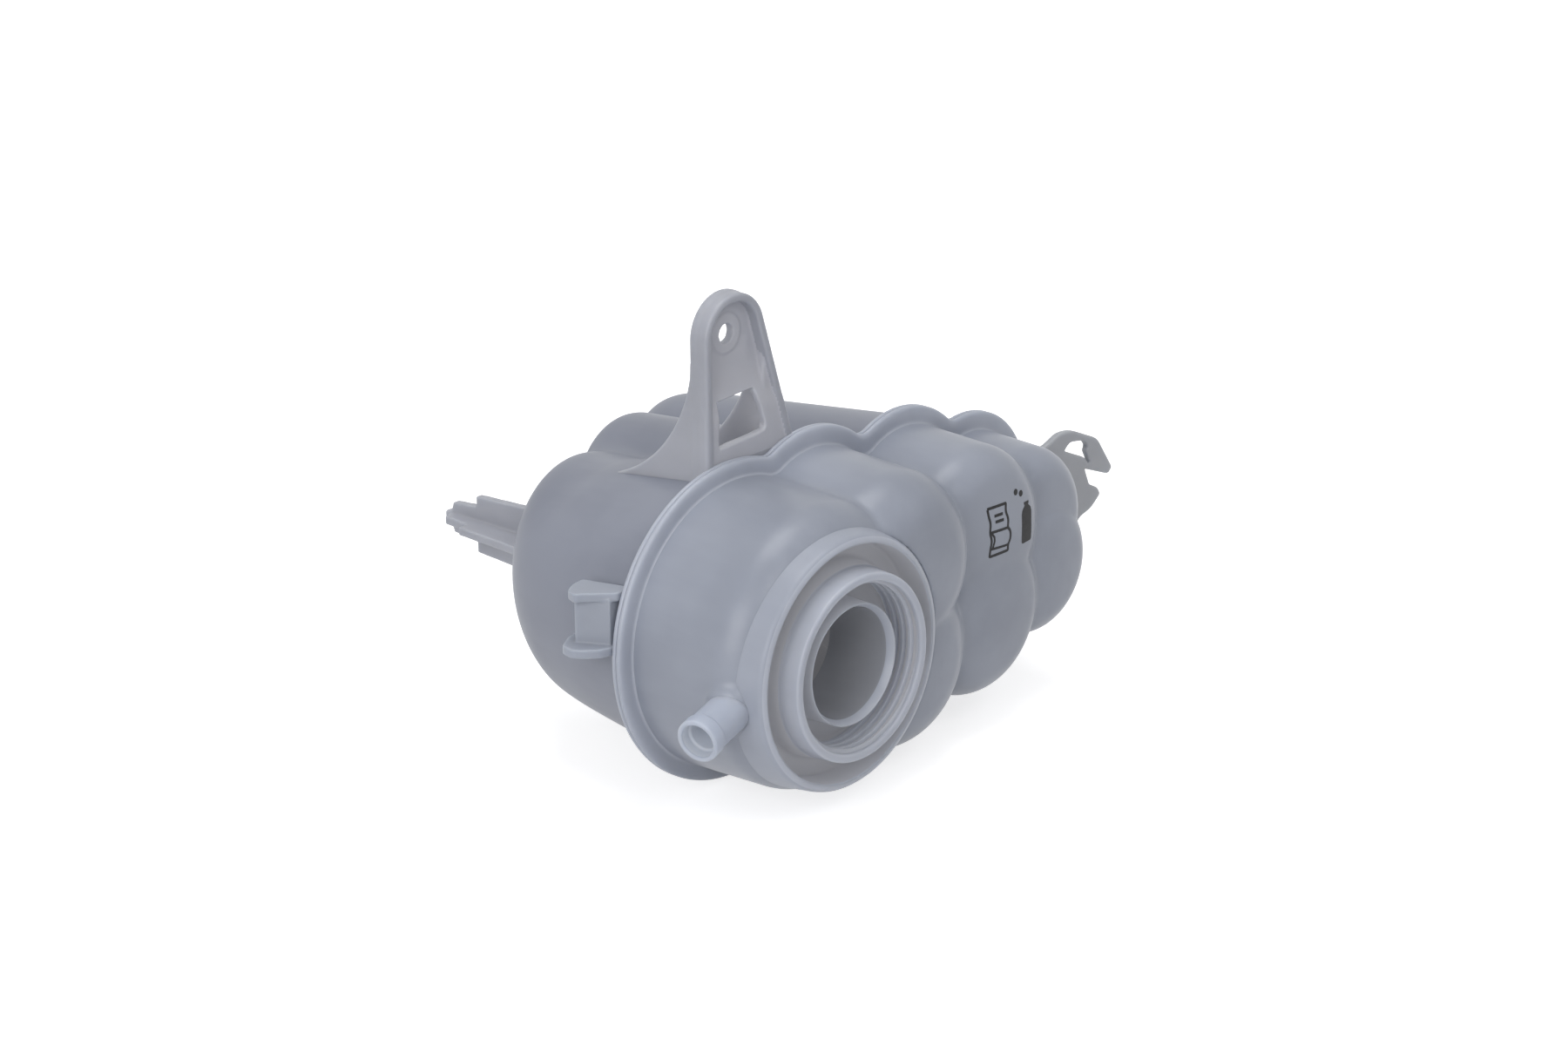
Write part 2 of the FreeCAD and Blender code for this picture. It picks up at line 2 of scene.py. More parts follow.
# A coolant expansion tank, dressed around its imported model
#
# The real tank is two shells of milky polypropylene, moulded and then welded together at a flat rim. It
# looks like a row of soap bubbles: one large lobe with the filler neck, and three pairs behind it. The
# imported model has the sizes and the main forms. This lesson gives it the soft valleys, the thread, the
# weld and the plastic's own look. First the model is loaded.

# %% Load the imported model
import bpy
import bmesh
import math
import numpy as np
from mathutils import Matrix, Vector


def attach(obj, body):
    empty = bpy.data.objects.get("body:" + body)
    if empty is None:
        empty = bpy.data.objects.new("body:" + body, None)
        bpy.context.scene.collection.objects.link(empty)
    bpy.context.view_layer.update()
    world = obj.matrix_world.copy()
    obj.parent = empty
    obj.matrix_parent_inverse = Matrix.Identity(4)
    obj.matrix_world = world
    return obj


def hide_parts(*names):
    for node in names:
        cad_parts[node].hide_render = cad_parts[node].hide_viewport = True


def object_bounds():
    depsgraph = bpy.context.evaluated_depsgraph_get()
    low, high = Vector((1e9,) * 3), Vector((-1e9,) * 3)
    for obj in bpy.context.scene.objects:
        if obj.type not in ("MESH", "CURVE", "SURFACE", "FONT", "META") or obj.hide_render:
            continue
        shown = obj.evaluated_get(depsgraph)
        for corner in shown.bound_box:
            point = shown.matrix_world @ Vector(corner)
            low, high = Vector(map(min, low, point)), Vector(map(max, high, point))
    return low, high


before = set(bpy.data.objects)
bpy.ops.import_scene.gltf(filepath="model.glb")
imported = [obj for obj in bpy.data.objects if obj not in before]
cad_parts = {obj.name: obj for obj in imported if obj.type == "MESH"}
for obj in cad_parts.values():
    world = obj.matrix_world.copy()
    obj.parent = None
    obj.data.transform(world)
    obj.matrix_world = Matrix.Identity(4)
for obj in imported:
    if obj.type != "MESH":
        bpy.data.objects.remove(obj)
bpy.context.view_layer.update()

# %% [markdown]
# The moulder's drawing is in millimetres. Its zero is where the large lobe's axis crosses the weld plane:
# X runs along the row of lobes, Y goes from the neck to the back, Z is up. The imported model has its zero
# in the mouth of the neck, so every point of the drawing is moved by the same three numbers.

# %% From the drawing to the model
MOUTH = np.array([1.1, 56.4, 2.5])
NECK_RUN = -1.1
NECK_RISE = -2.5


def in_metres(points):
    """Drawing points in millimetres, moved so that the neck's mouth is zero, then divided by 1000."""
    return (np.asarray(points, float) + MOUTH) / 1000.0


def unit(vector):
    """The vector divided by its length."""
    return vector / np.linalg.norm(vector)


# %% [markdown]
# A moulded shell has no sharp valleys: the lobes flow into each other. One way is to model each lobe and
# blend them by hand. Here every form is a distance instead, negative inside the plastic and positive
# outside, and two forms are joined by a formula that fills the corner between them with an arc.

# %% Joining and trimming distances
VALLEY_ARC = 6.0
END_ARC = 2.8


def eased(value, low, high):
    """0 up to low, 1 from high on, and the soft step 3*s*s - 2*s*s*s of the share s between them."""
    share = np.clip((value - low) / (high - low), 0.0, 1.0)
    return share * share * (3 - 2 * share)


def grown_together(distances, arc):
    """Round union: the larger of arc and the least distance, less the length of all shortfalls under arc."""
    stack = np.stack(distances)
    short = np.maximum(arc - stack, 0.0)
    return np.maximum(arc, stack.min(0)) - np.sqrt((short ** 2).sum(0))


def filleted(one, two, arc, lean):
    """Union of two forms with a true arc in their valley.

    lean is the cosine of the angle between their slopes.
    The shortfalls u and v under the arc's radius fix a point between the two surfaces. Its distance from
    the arc's centre squared is (u*u + v*v - 2*lean*u*v) / (1 - lean*lean). Where the point isn't between
    the arc's ends, the nearer surface counts.
    """
    u = arc - one
    v = arc - two
    from_centre = np.sqrt((u * u + v * v - 2 * lean * u * v) / (1 - lean * lean))
    between = (u > lean * v) & (v > lean * u)
    return np.where(between, arc - from_centre, np.minimum(one, two))


def row_of_lobes(lobes, distances, arc, ways=None):
    """The least of all filleted pairs of lobes that overlap.

    The angle between two lobes comes from their ways, the directions in which they face at each point.
    On a flat drawing it comes from the radii and the centres' distance, by the law of cosines.
    """
    best = np.minimum.reduce(distances)
    for i in range(len(lobes)):
        for j in range(i + 1, len(lobes)):
            (run, rise, radius), (run_2, rise_2, radius_2) = lobes[i], lobes[j]
            apart = math.hypot(run - run_2, rise - rise_2)
            if apart > radius + radius_2 + VALLEY_ARC:
                continue
            if ways is None:
                lean = (radius ** 2 + radius_2 ** 2 - apart ** 2) / (2 * radius * radius_2)
            else:
                lean = (ways[i] * ways[j]).sum(-1)
            best = np.minimum(best, filleted(distances[i], distances[j], arc, np.clip(lean, -0.9, 0.985)))
    return best


def trimmed(distances, arc):
    """Round overlap.

    The smaller of -arc and the greatest distance, plus the length of all excesses over -arc.
    """
    stack = np.stack(distances)
    over = np.maximum(arc + stack, 0.0)
    return np.minimum(-arc, stack.max(0)) + np.sqrt((over ** 2).sum(0))


# %% [markdown]
# The front lobes are drums with a little draft, so that the mould can open. Their ends are crowned, as a
# cushion is, and run into the side with a wide arc, so that each pair has a clear valley between them.

# %% Front lobes
FRONT_DRAFT = 0.03
FRONT_LOBES = [
    # run, rise, radius, depth, corner, crown
    (0.0, -0.8, 47.2, 47.6, 14.0, 0.0),
    (36.4, 15.2, 32.1, 50.9, 14.5, 4.0),
    (36.4, -15.8, 32.1, 49.6, 14.5, 4.0),
    (80.8, 12.8, 30.1, 42.6, 10.0, 4.0),
    (80.8, -13.4, 30.1, 43.2, 10.0, 4.0),
    (114.4, 7.0, 25.3, 36.2, 8.5, 3.5),
    (114.4, -7.6, 25.3, 38.6, 8.5, 3.5),
]


def drum(points, run, rise, radius, depth, corner, crown):
    """Distance to a drafted drum that points to the front, and the way in which it faces at each point.

    In the plane of (distance from the axis, depth) it is a box whose corner is an arc: the box is made
    smaller by the arc's radius, and the radius is taken off the distance to it. The crown lowers the end
    by the square of the distance from the axis.
    """
    ahead = -points[..., 1]
    across = np.stack([points[..., 0] - run, points[..., 2] - rise], -1)
    aside = np.maximum(np.linalg.norm(across, axis=-1), 1e-6)
    outward = aside - (radius - FRONT_DRAFT * ahead - corner)
    upward = ahead - (depth - corner) + crown * (aside / radius) ** 2
    inside = np.minimum(np.maximum(outward, upward), 0.0)
    part_out = np.where(inside < 0, outward >= upward, np.maximum(outward, 0.0))
    part_up = np.where(inside < 0, outward < upward, np.maximum(upward, 0.0))
    faces_out = part_out + part_up * 2 * crown * aside / radius ** 2
    length = np.maximum(np.hypot(faces_out, part_up), 1e-6)
    way = np.stack([faces_out * across[..., 0] / aside, -part_up, faces_out * across[..., 1] / aside], -1)
    distance = inside + np.hypot(np.maximum(outward, 0.0), np.maximum(upward, 0.0)) - corner
    return distance, way / length[..., None]


def neck_distance(points):
    """How far a point is from the axis of the filler neck."""
    return np.hypot(points[..., 0] - NECK_RUN, points[..., 2] - NECK_RISE)


# %% [markdown]
# The hose nipple leaves the large lobe's side at an angle, and widens where it grows out of the wall. Only
# its root is part of the shell's form here. The round stem with its bead is turned later.

# %% The nipple's axis
ANGLE = math.radians(190.0)
TILT = math.radians(10.6)
OUTWARD = np.array([math.cos(ANGLE), 0.0, math.sin(ANGLE)])
NIPPLE_DEPTH = 39.9
SUNK_IN = 0.7
LOBE_RADIUS = FRONT_LOBES[0][2] - FRONT_DRAFT * NIPPLE_DEPTH
NIPPLE_ROOT = OUTWARD * (LOBE_RADIUS - SUNK_IN) + np.array([0.0, -NIPPLE_DEPTH, 0.0])
NIPPLE_WAY = unit(OUTWARD * math.cos(TILT) + np.array([0.0, -math.sin(TILT), 0.0]))


def from_nipple_axis(points):
    """How far along the nipple's axis a point is, and how far from the axis."""
    from_root = points - NIPPLE_ROOT
    along = from_root @ NIPPLE_WAY
    return along, np.linalg.norm(from_root - along[..., None] * NIPPLE_WAY, axis=-1)


def nipple_stub(points, radius=6.5, start=-4.0, end=3.0):
    """Distance to the first stretch of the nipple's stem: a short round bar along its axis."""
    along, across = from_nipple_axis(points)
    return np.maximum(across - radius, np.maximum(start - along, along - end))


WELL_RADIUS = 41.05
WELL_DEPTH = 46.0


def front_form(points):
    """The front shell's outside: lobes joined by arcs, and the nipple's root.

    The arcs are wide at the sides and shrink towards the ends, between depths of 24 and 36 mm. A round well
    is cut out of the lobes where the collar stands, so that its lip is free all round. The collar itself is
    turned later.
    """
    distances, ways = zip(*[drum(points, *lobe) for lobe in FRONT_LOBES])
    arc = VALLEY_ARC - (VALLEY_ARC - END_ARC) * eased(-points[..., 1], 24.0, 36.0)
    lobes = row_of_lobes([lobe[:3] for lobe in FRONT_LOBES], distances, arc, ways)
    well = np.maximum(neck_distance(points) - WELL_RADIUS, WELL_DEPTH + points[..., 1])
    return grown_together([np.maximum(lobes, -well), nipple_stub(points)], 3.6)


# %% [markdown]
# The rear lobes are deeper and end like bubbles. A fourth-power curve gives that: flatter than a circle
# over the side, quicker at the end. The large one also drifts sideways and up as it gets deeper.

# %% Rear lobes
REAR_LOBES = [
    # run, rise, lift per mm, radius, slope, depth, length of the round end
    (36.4, 15.5, 0.035, 32.0, 0.12, 85.4, 12.0),
    (36.4, -15.8, 0.0, 32.0, 0.12, 85.4, 12.0),
    (80.8, 12.8, 0.0, 32.0, 0.12, 108.8, 33.7),
    (80.8, -13.4, 0.0, 31.6, 0.12, 108.8, 33.7),
    (114.4, 7.0, 0.0, 25.4, 0.12, 34.2, 17.0),
    (114.4, -7.6, 0.0, 25.4, 0.12, 34.2, 17.0),
]


def bubble(points, run, rise, lift, radius, slope, depth, end):
    """Distance to a drafted lobe with a fourth-power end, and the way in which it faces.

    With r the distance from the axis over the drafted radius, and e the way into the round end from 0 to
    1, the surface is where r to the fourth plus e to the fourth is 1.
    """
    back = points[..., 1]
    straight = np.maximum(radius - slope * back, 4.0)
    across = np.stack([points[..., 0] - run, points[..., 2] - rise - lift * np.maximum(back, 0.0)], -1)
    away = np.maximum(np.linalg.norm(across, axis=-1), 1e-6)
    aside = away / straight
    into_end = np.maximum(back - (depth - end), 0.0) / end
    faces_out = aside ** 3 / straight
    faces_back = into_end ** 3 / end
    length = np.maximum(np.hypot(faces_out, faces_back), 1e-9)
    way = np.stack([faces_out * across[..., 0] / away, faces_back, faces_out * across[..., 1] / away], -1)
    return ((aside ** 4 + into_end ** 4) ** 0.25 - 1.0) * straight, way / length[..., None]


# the large lobe has the same seven numbers
LARGE_REAR = (0.0, 0.0, 0.0, 47.25, 0.13, 75.0, 54.0)
DRIFT_START = 48.0
DRIFT_RUN = 3.6
DRIFT_RISE = 12.9


def large_bubble(points):
    """The large rear lobe: the same rule, but its centre drifts by the square of the way past a depth."""
    past = np.maximum(points[..., 1] - DRIFT_START, 0.0) / (LARGE_REAR[5] - DRIFT_START)
    moved = points - np.stack([DRIFT_RUN * past ** 2, np.zeros_like(past), DRIFT_RISE * past ** 2], -1)
    return bubble(moved, *LARGE_REAR)


def rear_form(points):
    """The rear shell's outside: seven lobes joined by arcs."""
    circles = [(lobe[0], lobe[1], lobe[3]) for lobe in [LARGE_REAR] + REAR_LOBES]
    distances, ways = zip(large_bubble(points), *[bubble(points, *lobe) for lobe in REAR_LOBES])
    return row_of_lobes(circles, distances, VALLEY_ARC, ways)


# %% [markdown]
# A distance becomes a mesh in two steps. A net of points is laid near the zero level, one point in every
# small cube that the surface crosses, and each point then slides along the slope until its distance is
# zero. The second step is what makes the plastic look smooth, however coarse the cubes are.

# %% From a distance to a mesh


def net_over(form, low, high, pitch):
    """Surface net.

    A point per crossed cube, which is the mean of its edges' crossings, and a square per crossed edge.
    """
    axes = [np.arange(a, b + pitch, pitch) for a, b in zip(low, high)]
    lattice = np.stack(np.meshgrid(*axes, indexing="ij"), -1)
    value = form(lattice)
    solid = value < 0
    cubes = tuple(n - 1 for n in value.shape)
    total = np.zeros(cubes + (3,))
    count = np.zeros(cubes)
    for axis in range(3):
        others = [k for k in range(3) if k != axis]
        for first in (0, 1):
            for second in (0, 1):
                start = [0, 0, 0]
                start[others[0]] = first
                start[others[1]] = second
                near = tuple(slice(s, s + n) for s, n in zip(start, cubes))
                start[axis] = 1
                far = tuple(slice(s, s + n) for s, n in zip(start, cubes))
                crossed = solid[near] != solid[far]
                gap = np.where(crossed, value[near] - value[far], 1.0)
                share = np.where(crossed, value[near] / gap, 0.0)
                total[..., axis] += np.where(crossed, share, 0.0)
                total[..., others[0]] += np.where(crossed, first, 0.0)
                total[..., others[1]] += np.where(crossed, second, 0.0)
                count += crossed
    used = count > 0
    number = np.full(cubes, -1)
    number[used] = np.arange(int(used.sum()))
    corner = np.stack(np.nonzero(used), -1)
    points = np.asarray(low, float) + (corner + total[used] / count[used][:, None]) * pitch
    squares = []
    for axis in range(3):
        one, two = [(1, 2), (2, 0), (0, 1)][axis]
        near = [slice(0, -1) if k == axis else slice(1, -1) for k in range(3)]
        far = [slice(1, None) if k == axis else slice(1, -1) for k in range(3)]
        begins = solid[tuple(near)]
        ends = solid[tuple(far)]
        place = np.stack(np.nonzero(begins != ends), -1)
        place = place + np.array([0 if k == axis else 1 for k in range(3)])
        around = []
        for back_one, back_two in ((1, 1), (0, 1), (0, 0), (1, 0)):
            cell = place.copy()
            cell[:, one] -= back_one
            cell[:, two] -= back_two
            around.append(number[cell[:, 0], cell[:, 1], cell[:, 2]])
        ring = np.stack(around, -1)
        outward = begins[begins != ends]
        squares.append(np.where(outward[:, None], ring, ring[:, ::-1]))
    return points, np.concatenate(squares)


def slope_of(form, points, step=0.05):
    """How fast the distance changes along X, Y and Z: half the difference over a small step each way."""
    parts = []
    for axis in range(3):
        shift = np.zeros(3)
        shift[axis] = step
        parts.append((form(points + shift) - form(points - shift)) / (2 * step))
    return np.stack(parts, -1)


def slid_onto(form, points, reach, rounds=5):
    """Newton's rule, repeated: move by the distance over the slope's square, against the slope.

    No move is longer than reach.
    """
    for _ in range(rounds):
        slope = slope_of(form, points)
        move = slope * (form(points) / np.maximum((slope ** 2).sum(-1), 0.05))[:, None]
        length = np.linalg.norm(move, axis=-1, keepdims=True)
        points = points - move * np.minimum(1.0, reach / np.maximum(length, 1e-9))
    return points


# %% [markdown]
# Every piece of this tank is moulded in one with its shell, so every piece rides on the one body and gets
# one material slot for its finish.

# %% A piece from points and faces


def add_piece(name, points, faces, finish, faceted_over=None):
    """A mesh object at the origin with its place in its points, smooth faces, and a slot for the given
    finish.
    """
    mesh = bpy.data.meshes.new(name)
    faces = np.asarray(faces)
    count, sides = faces.shape
    mesh.vertices.add(len(points))
    mesh.vertices.foreach_set("co", in_metres(points).astype(np.float32).ravel())
    mesh.loops.add(count * sides)
    mesh.loops.foreach_set("vertex_index", faces.astype(np.int32).ravel())
    mesh.polygons.add(count)
    mesh.polygons.foreach_set("loop_start", np.arange(0, count * sides, sides, dtype=np.int32))
    mesh.polygons.foreach_set("use_smooth", np.ones(count, dtype=bool))
    mesh.update(calc_edges=True)
    mesh.validate()
    if faceted_over is not None:
        mesh.set_sharp_from_angle(angle=math.radians(faceted_over))
    item = bpy.data.objects.new(name, mesh)
    bpy.context.collection.objects.link(item)
    mesh.materials.append(finish)
    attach(item, "root")
    return item


def outward_faces(item):
    """Turns all faces of a closed piece outwards."""
    work = bmesh.new()
    work.from_mesh(item.data)
    bmesh.ops.recalc_face_normals(work, faces=work.faces[:])
    work.to_mesh(item.data)
    work.free()


def moulding(name, form, low, high, pitch, finish):
    """A closed piece of plastic from its distance."""
    points, squares = net_over(form, low, high, pitch)
    points = slid_onto(form, points, pitch)
    item = add_piece(name, points, squares, finish)
    print(name, "has", len(squares), "faces of about", pitch, "mm")
    return item


# %% [markdown]
# Polypropylene for coolant tanks isn't dyed, so it is milky, a little blue, and satin from the mould's
# steel. The wall isn't equally thick, which shows as slow clouds, and the melt leaves faint streaks along
# its flow. Thin parts let more light through and look paler. A pure colour would look like paint, so each
# finish mixes two close colours with slow noise, and a fine noise lifts the surface a little. Several
# finishes carry painted light. In shaded places, as in the ring around the neck, a finish gives off a little
# light, a painted glow that stands in for light coming through the wall. Some finishes are also made paler
# or darker than the wall, as painted light or painted shade.

# %% Finish: milky polypropylene


def from_screen(colour):
    """A colour as a screen shows it, 0 to 255, to the light it stands for: the usual 2.4 power curve."""
    return tuple(((part / 255.0 + 0.055) / 1.055) ** 2.4 for part in colour) + (1.0,)


def new_finish(name, roughness, gloss):
    """A material, its nodes, its links and its surface shader."""
    finish = bpy.data.materials.new(name)
    finish.use_nodes = True
    nodes = finish.node_tree.nodes
    shader = nodes["Principled BSDF"]
    shader.inputs["Roughness"].default_value = roughness
    shader.inputs["Specular IOR Level"].default_value = gloss
    return finish, nodes, finish.node_tree.links, shader


def noise(nodes, links, place, scale, detail):
    """A noise texture in the piece's own space, with values from 0 to 1."""
    texture = nodes.new("ShaderNodeTexNoise")
    texture.inputs["Scale"].default_value = scale
    texture.inputs["Detail"].default_value = detail
    links.new(place, texture.inputs["Vector"])
    return texture


def between(nodes, links, share, deep, pale):
    """A colour between two others."""
    blend = nodes.new("ShaderNodeMix")
    blend.data_type = "RGBA"
    blend.inputs["A"].default_value = deep
    blend.inputs["B"].default_value = pale
    links.new(share, blend.inputs["Factor"])
    return blend.outputs["Result"]


def bump(nodes, links, height, strength, distance):
    """A node that tilts the surface where a height changes. A full bump is as high as distance, in metres."""
    tilt = nodes.new("ShaderNodeBump")
    tilt.inputs["Strength"].default_value = strength
    tilt.inputs["Distance"].default_value = distance
    links.new(height, tilt.inputs["Height"])
    return tilt


def milky(name, deep, pale, roughness=0.4, soft_light=0.12, reach=0.004, painted_glow=0.0):
    """A node material: clouds and flow streaks mix two colours, fine grain and slow waves make the bump.

    The colours are as a screen shows them. soft_light is the share that spreads under the surface, reach how
    far, in metres, and the last argument the strength of a painted glow: light that the finish gives off
    though it is no lamp, standing in for light that comes through the wall from its other side.
    """
    deep = from_screen(deep)
    pale = from_screen(pale)
    finish, nodes, links, shader = new_finish(name, roughness, 0.36)
    shader.inputs["IOR"].default_value = 1.49
    shader.inputs["Subsurface Weight"].default_value = soft_light
    shader.inputs["Subsurface Radius"].default_value = (0.9, 1.0, 1.15)
    shader.inputs["Subsurface Scale"].default_value = reach
    shader.inputs["Emission Color"].default_value = pale
    # The emission is a painted glow: the finish gives off light though it is no lamp.
    shader.inputs["Emission Strength"].default_value = painted_glow
    place = nodes.new("ShaderNodeTexCoord").outputs["Object"]
    clouds = noise(nodes, links, place, 26.0, 3.0)
    clouds.inputs["Roughness"].default_value = 0.45
    along_flow = nodes.new("ShaderNodeMapping")
    along_flow.inputs["Scale"].default_value = (1.0, 0.16, 1.0)
    links.new(place, along_flow.inputs["Vector"])
    streaks = noise(nodes, links, along_flow.outputs["Vector"], 170.0, 2.0)
    together = nodes.new("ShaderNodeMath")
    together.operation = "MULTIPLY_ADD"
    together.inputs[1].default_value = 0.22
    links.new(streaks.outputs["Fac"], together.inputs[0])
    links.new(clouds.outputs["Fac"], together.inputs[2])
    spread = nodes.new("ShaderNodeMapRange")
    spread.interpolation_type = "SMOOTHSTEP"
    spread.inputs["From Min"].default_value = 0.38
    spread.inputs["From Max"].default_value = 0.84
    links.new(together.outputs["Value"], spread.inputs["Value"])
    links.new(between(nodes, links, spread.outputs["Result"], deep, pale), shader.inputs["Base Color"])
    waves = noise(nodes, links, place, 55.0, 1.0)
    grain = noise(nodes, links, place, 1500.0, 2.0)
    low_waves = bump(nodes, links, waves.outputs["Fac"], 0.12, 0.0012)
    skin = bump(nodes, links, grain.outputs["Fac"], 0.10, 0.00008)
    links.new(low_waves.outputs["Normal"], skin.inputs["Normal"])
    links.new(skin.outputs["Normal"], shader.inputs["Normal"])
    return finish


FRONT_WALL = milky("milky_front_wall", (138, 143, 155), (149, 154, 166), 0.35)
# The rear shell's finish is darker than the front's, though both are the same plastic: painted shade.
REAR_WALL_SHADED = milky("milky_rear_wall_painted_shade", (122, 126, 138), (133, 137, 149))
# The inside of the wall gives off light: a painted glow, so that the cavity, which no lamp reaches, is not
# black.
INNER_WALL_GLOW = milky("milky_inside_painted_glow", (140, 140, 144), (148, 148, 152), 0.5, 0.0, 0.004, 0.24)
# The rim's finish is paler than the wall and gives off a little light: painted light on a face that turns
# away from the lamps.
WELD_RIM_LIT = milky("milky_rim_painted_light", (158, 163, 175), (168, 173, 185), 0.36, 0.3, 0.004, 0.04)
COLLAR_WALL = milky("milky_collar", (149, 154, 166), (160, 165, 177), 0.4, 0.2)
# The neck's finish gives off a little light: a painted glow.
NECK_WALL_GLOW = milky("milky_neck_painted_glow", (160, 164, 174), (170, 174, 184), 0.36, 0.5, 0.006, 0.07)
# The moat's finish is paler and warmer than the shell's wall and gives off light: painted light in the shaded
# ring around the neck and the tube.
MOAT_PAINTED_LIGHT = milky("milky_moat_painted_light", (158, 159, 164), (168, 169, 174), 0.40, 0.5, 0.006, 0.20)
# The tube's bore is darker than the neck, painted shade, and gives off a little light, a painted glow.
TUBE_BORE_SHADE_AND_GLOW = milky("milky_tube_bore_painted_shade_and_glow", (142, 144, 150), (150, 152, 158), 0.24, 0.3, 0.004, 0.08)
NIPPLE_WALL = milky("milky_nipple", (164, 170, 184), (174, 180, 193), 0.36, 0.6, 0.006)
# The nipple's bore is paler than its outside and gives off light: painted light in the shaded bore.
NIPPLE_BORE_LIT = milky("milky_bore_painted_light", (176, 180, 188), (186, 190, 198), 0.40, 0.5, 0.006, 0.12)
# The ribs' finish gives off a faint light: a painted glow.
THIN_RIB_GLOW = milky("milky_ribs_painted_glow", (153, 155, 163), (164, 166, 174), 0.42, 0.4, 0.005, 0.015)
# The web's finish is paler and gives off light: painted light on the recessed sheet and on the shaded fin
# behind the window.
THIN_WEB_LIT = milky("milky_web_painted_light", (170, 171, 178), (178, 179, 186), 0.42, 0.4, 0.005, 0.06)
THIN_CLIP = milky("milky_clip", (148, 153, 164), (158, 163, 174), 0.42, 0.4, 0.005)
THIN_LUG = milky("milky_lug", (165, 167, 172), (177, 179, 183), 0.45, 0.4, 0.005)
print("made", len(bpy.data.materials), "materials")

# %% [markdown]
# The front shell is a net over the front form. It stops just behind the weld plane, inside the rim, and it
# has a round hole where the collar, the neck and the tube are turned as a piece of their own. The wall gets
# its thickness inwards with Solidify, so that a look into the tube meets real plastic.

# %% Front skin


def open_skin(name, form, low, high, pitch, keep, finish, thickness):
    """A net over a form, less the faces that keep refuses, given a wall inwards, its thickness in metres."""
    points, squares = net_over(form, low, high, pitch)
    points = slid_onto(form, points, pitch)
    squares = squares[keep(points[squares].mean(1))]
    used, again = np.unique(squares, return_inverse=True)
    item = add_piece(name, points[used], again.reshape(-1, 4), finish)
    # The wall's inside gets the finish with the painted glow.
    item.data.materials.append(INNER_WALL_GLOW)
    wall = item.modifiers.new("wall", "SOLIDIFY")
    wall.thickness = thickness
    wall.offset = -1.0
    wall.material_offset = 1
    print(name, "has", len(squares), "outer faces")
    return item


def front_keep(middle):
    """True for faces ahead of the weld plane and outside the hole around the neck.

    The hole is wider where the lobe's edge is steep, so that its wall stays inside the collar's.
    """
    ahead = -middle[:, 1]
    hole = np.where(ahead > 47.2, 39.4, np.where(ahead > 44.0, 40.4, 40.9))
    in_hole = (neck_distance(middle) < hole) & (ahead > 37.5)
    return (ahead > -0.6) & ~in_hole


front_skin = open_skin("front_skin", front_form, (-58.0, -58.0, -58.0), (148.0, 3.0, 56.0), 1.2,
                       front_keep, FRONT_WALL, 0.0024)
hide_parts("front_shell")

# %% [markdown]
# The rear shell is made the same way, without a hole.

# %% Rear skin


def rear_keep(middle):
    """True for faces behind the weld plane."""
    return middle[:, 1] > -0.6


# The rear skin takes the darker finish, which is painted shade.
rear_skin = open_skin("rear_skin", rear_form, (-52.0, -3.0, -56.0), (146.0, 114.0, 56.0), 1.35,
                      rear_keep, REAR_WALL_SHADED, 0.003)
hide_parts("rear_shell")

# %% [markdown]
# The weld rim follows the lobes at a fixed distance. Its edge is found by walking around the row's middle
# line and looking outwards: a ray from each point crosses the rim's edge once, and halving finds where.
# A profile is then carried along: flat on the weld plane, domed on top, and with a fillet at the wall.

# %% Rim outline
RIM_WIDTHS = [5.3, 6.2, 6.2, 5.7, 5.7, 5.8, 5.8]
RIM_ARC = 5.0


def outline_distance(across, widths, arc):
    """Round union of circles in the weld plane, each lobe's radius made larger by its rim's width."""
    circles = [(lobe[0], lobe[1], lobe[2] + width) for lobe, width in zip(FRONT_LOBES, widths)]
    discs = [np.hypot(across[..., 0] - run, across[..., 1] - rise) - radius for run, rise, radius in circles]
    return row_of_lobes(circles, discs, arc)


def walk_around(count_cap=230, count_side=190, far=114.4):
    """Start points on the row's middle line and directions that go once around it."""
    left = np.linspace(math.pi / 2, 3 * math.pi / 2, count_cap, endpoint=False)
    right = np.linspace(-math.pi / 2, math.pi / 2, count_cap, endpoint=False)
    side = np.linspace(0.0, far, count_side, endpoint=False)
    run = np.concatenate([np.zeros(count_cap), side, np.full(count_cap, far), far - side])
    turn = np.concatenate([left, np.full(count_side, -math.pi / 2), right, np.full(count_side, math.pi / 2)])
    start = np.stack([run, np.zeros(len(run))], -1)
    way = np.stack([np.cos(turn), np.sin(turn)], -1)
    return start, way


def outline(widths, arc):
    """The points where the rays leave the outline, found by halving an interval 40 times."""
    start, way = walk_around()
    near = np.full(len(start), 2.0)
    far = np.full(len(start), 90.0)
    for _ in range(40):
        middle = (near + far) / 2
        inside = outline_distance(start + way * middle[:, None], widths, arc) < 0
        near = np.where(inside, middle, near)
        far = np.where(inside, far, middle)
    return start + way * near[:, None]


rim_foot = outline([0.0] * 7, VALLEY_ARC)
rim_edge = outline(RIM_WIDTHS, RIM_ARC)
print("rim outline has", len(rim_edge), "points")

# %% Rim pieces


def ring_faces(around, profile):
    """Squares of a grid that closes on itself both ways."""
    i, j = np.meshgrid(np.arange(around), np.arange(profile), indexing="ij")
    next_i = (i + 1) % around
    next_j = (j + 1) % profile
    corners = [i * profile + j, next_i * profile + j, next_i * profile + next_j, i * profile + next_j]
    return np.stack(corners, -1).reshape(-1, 4)


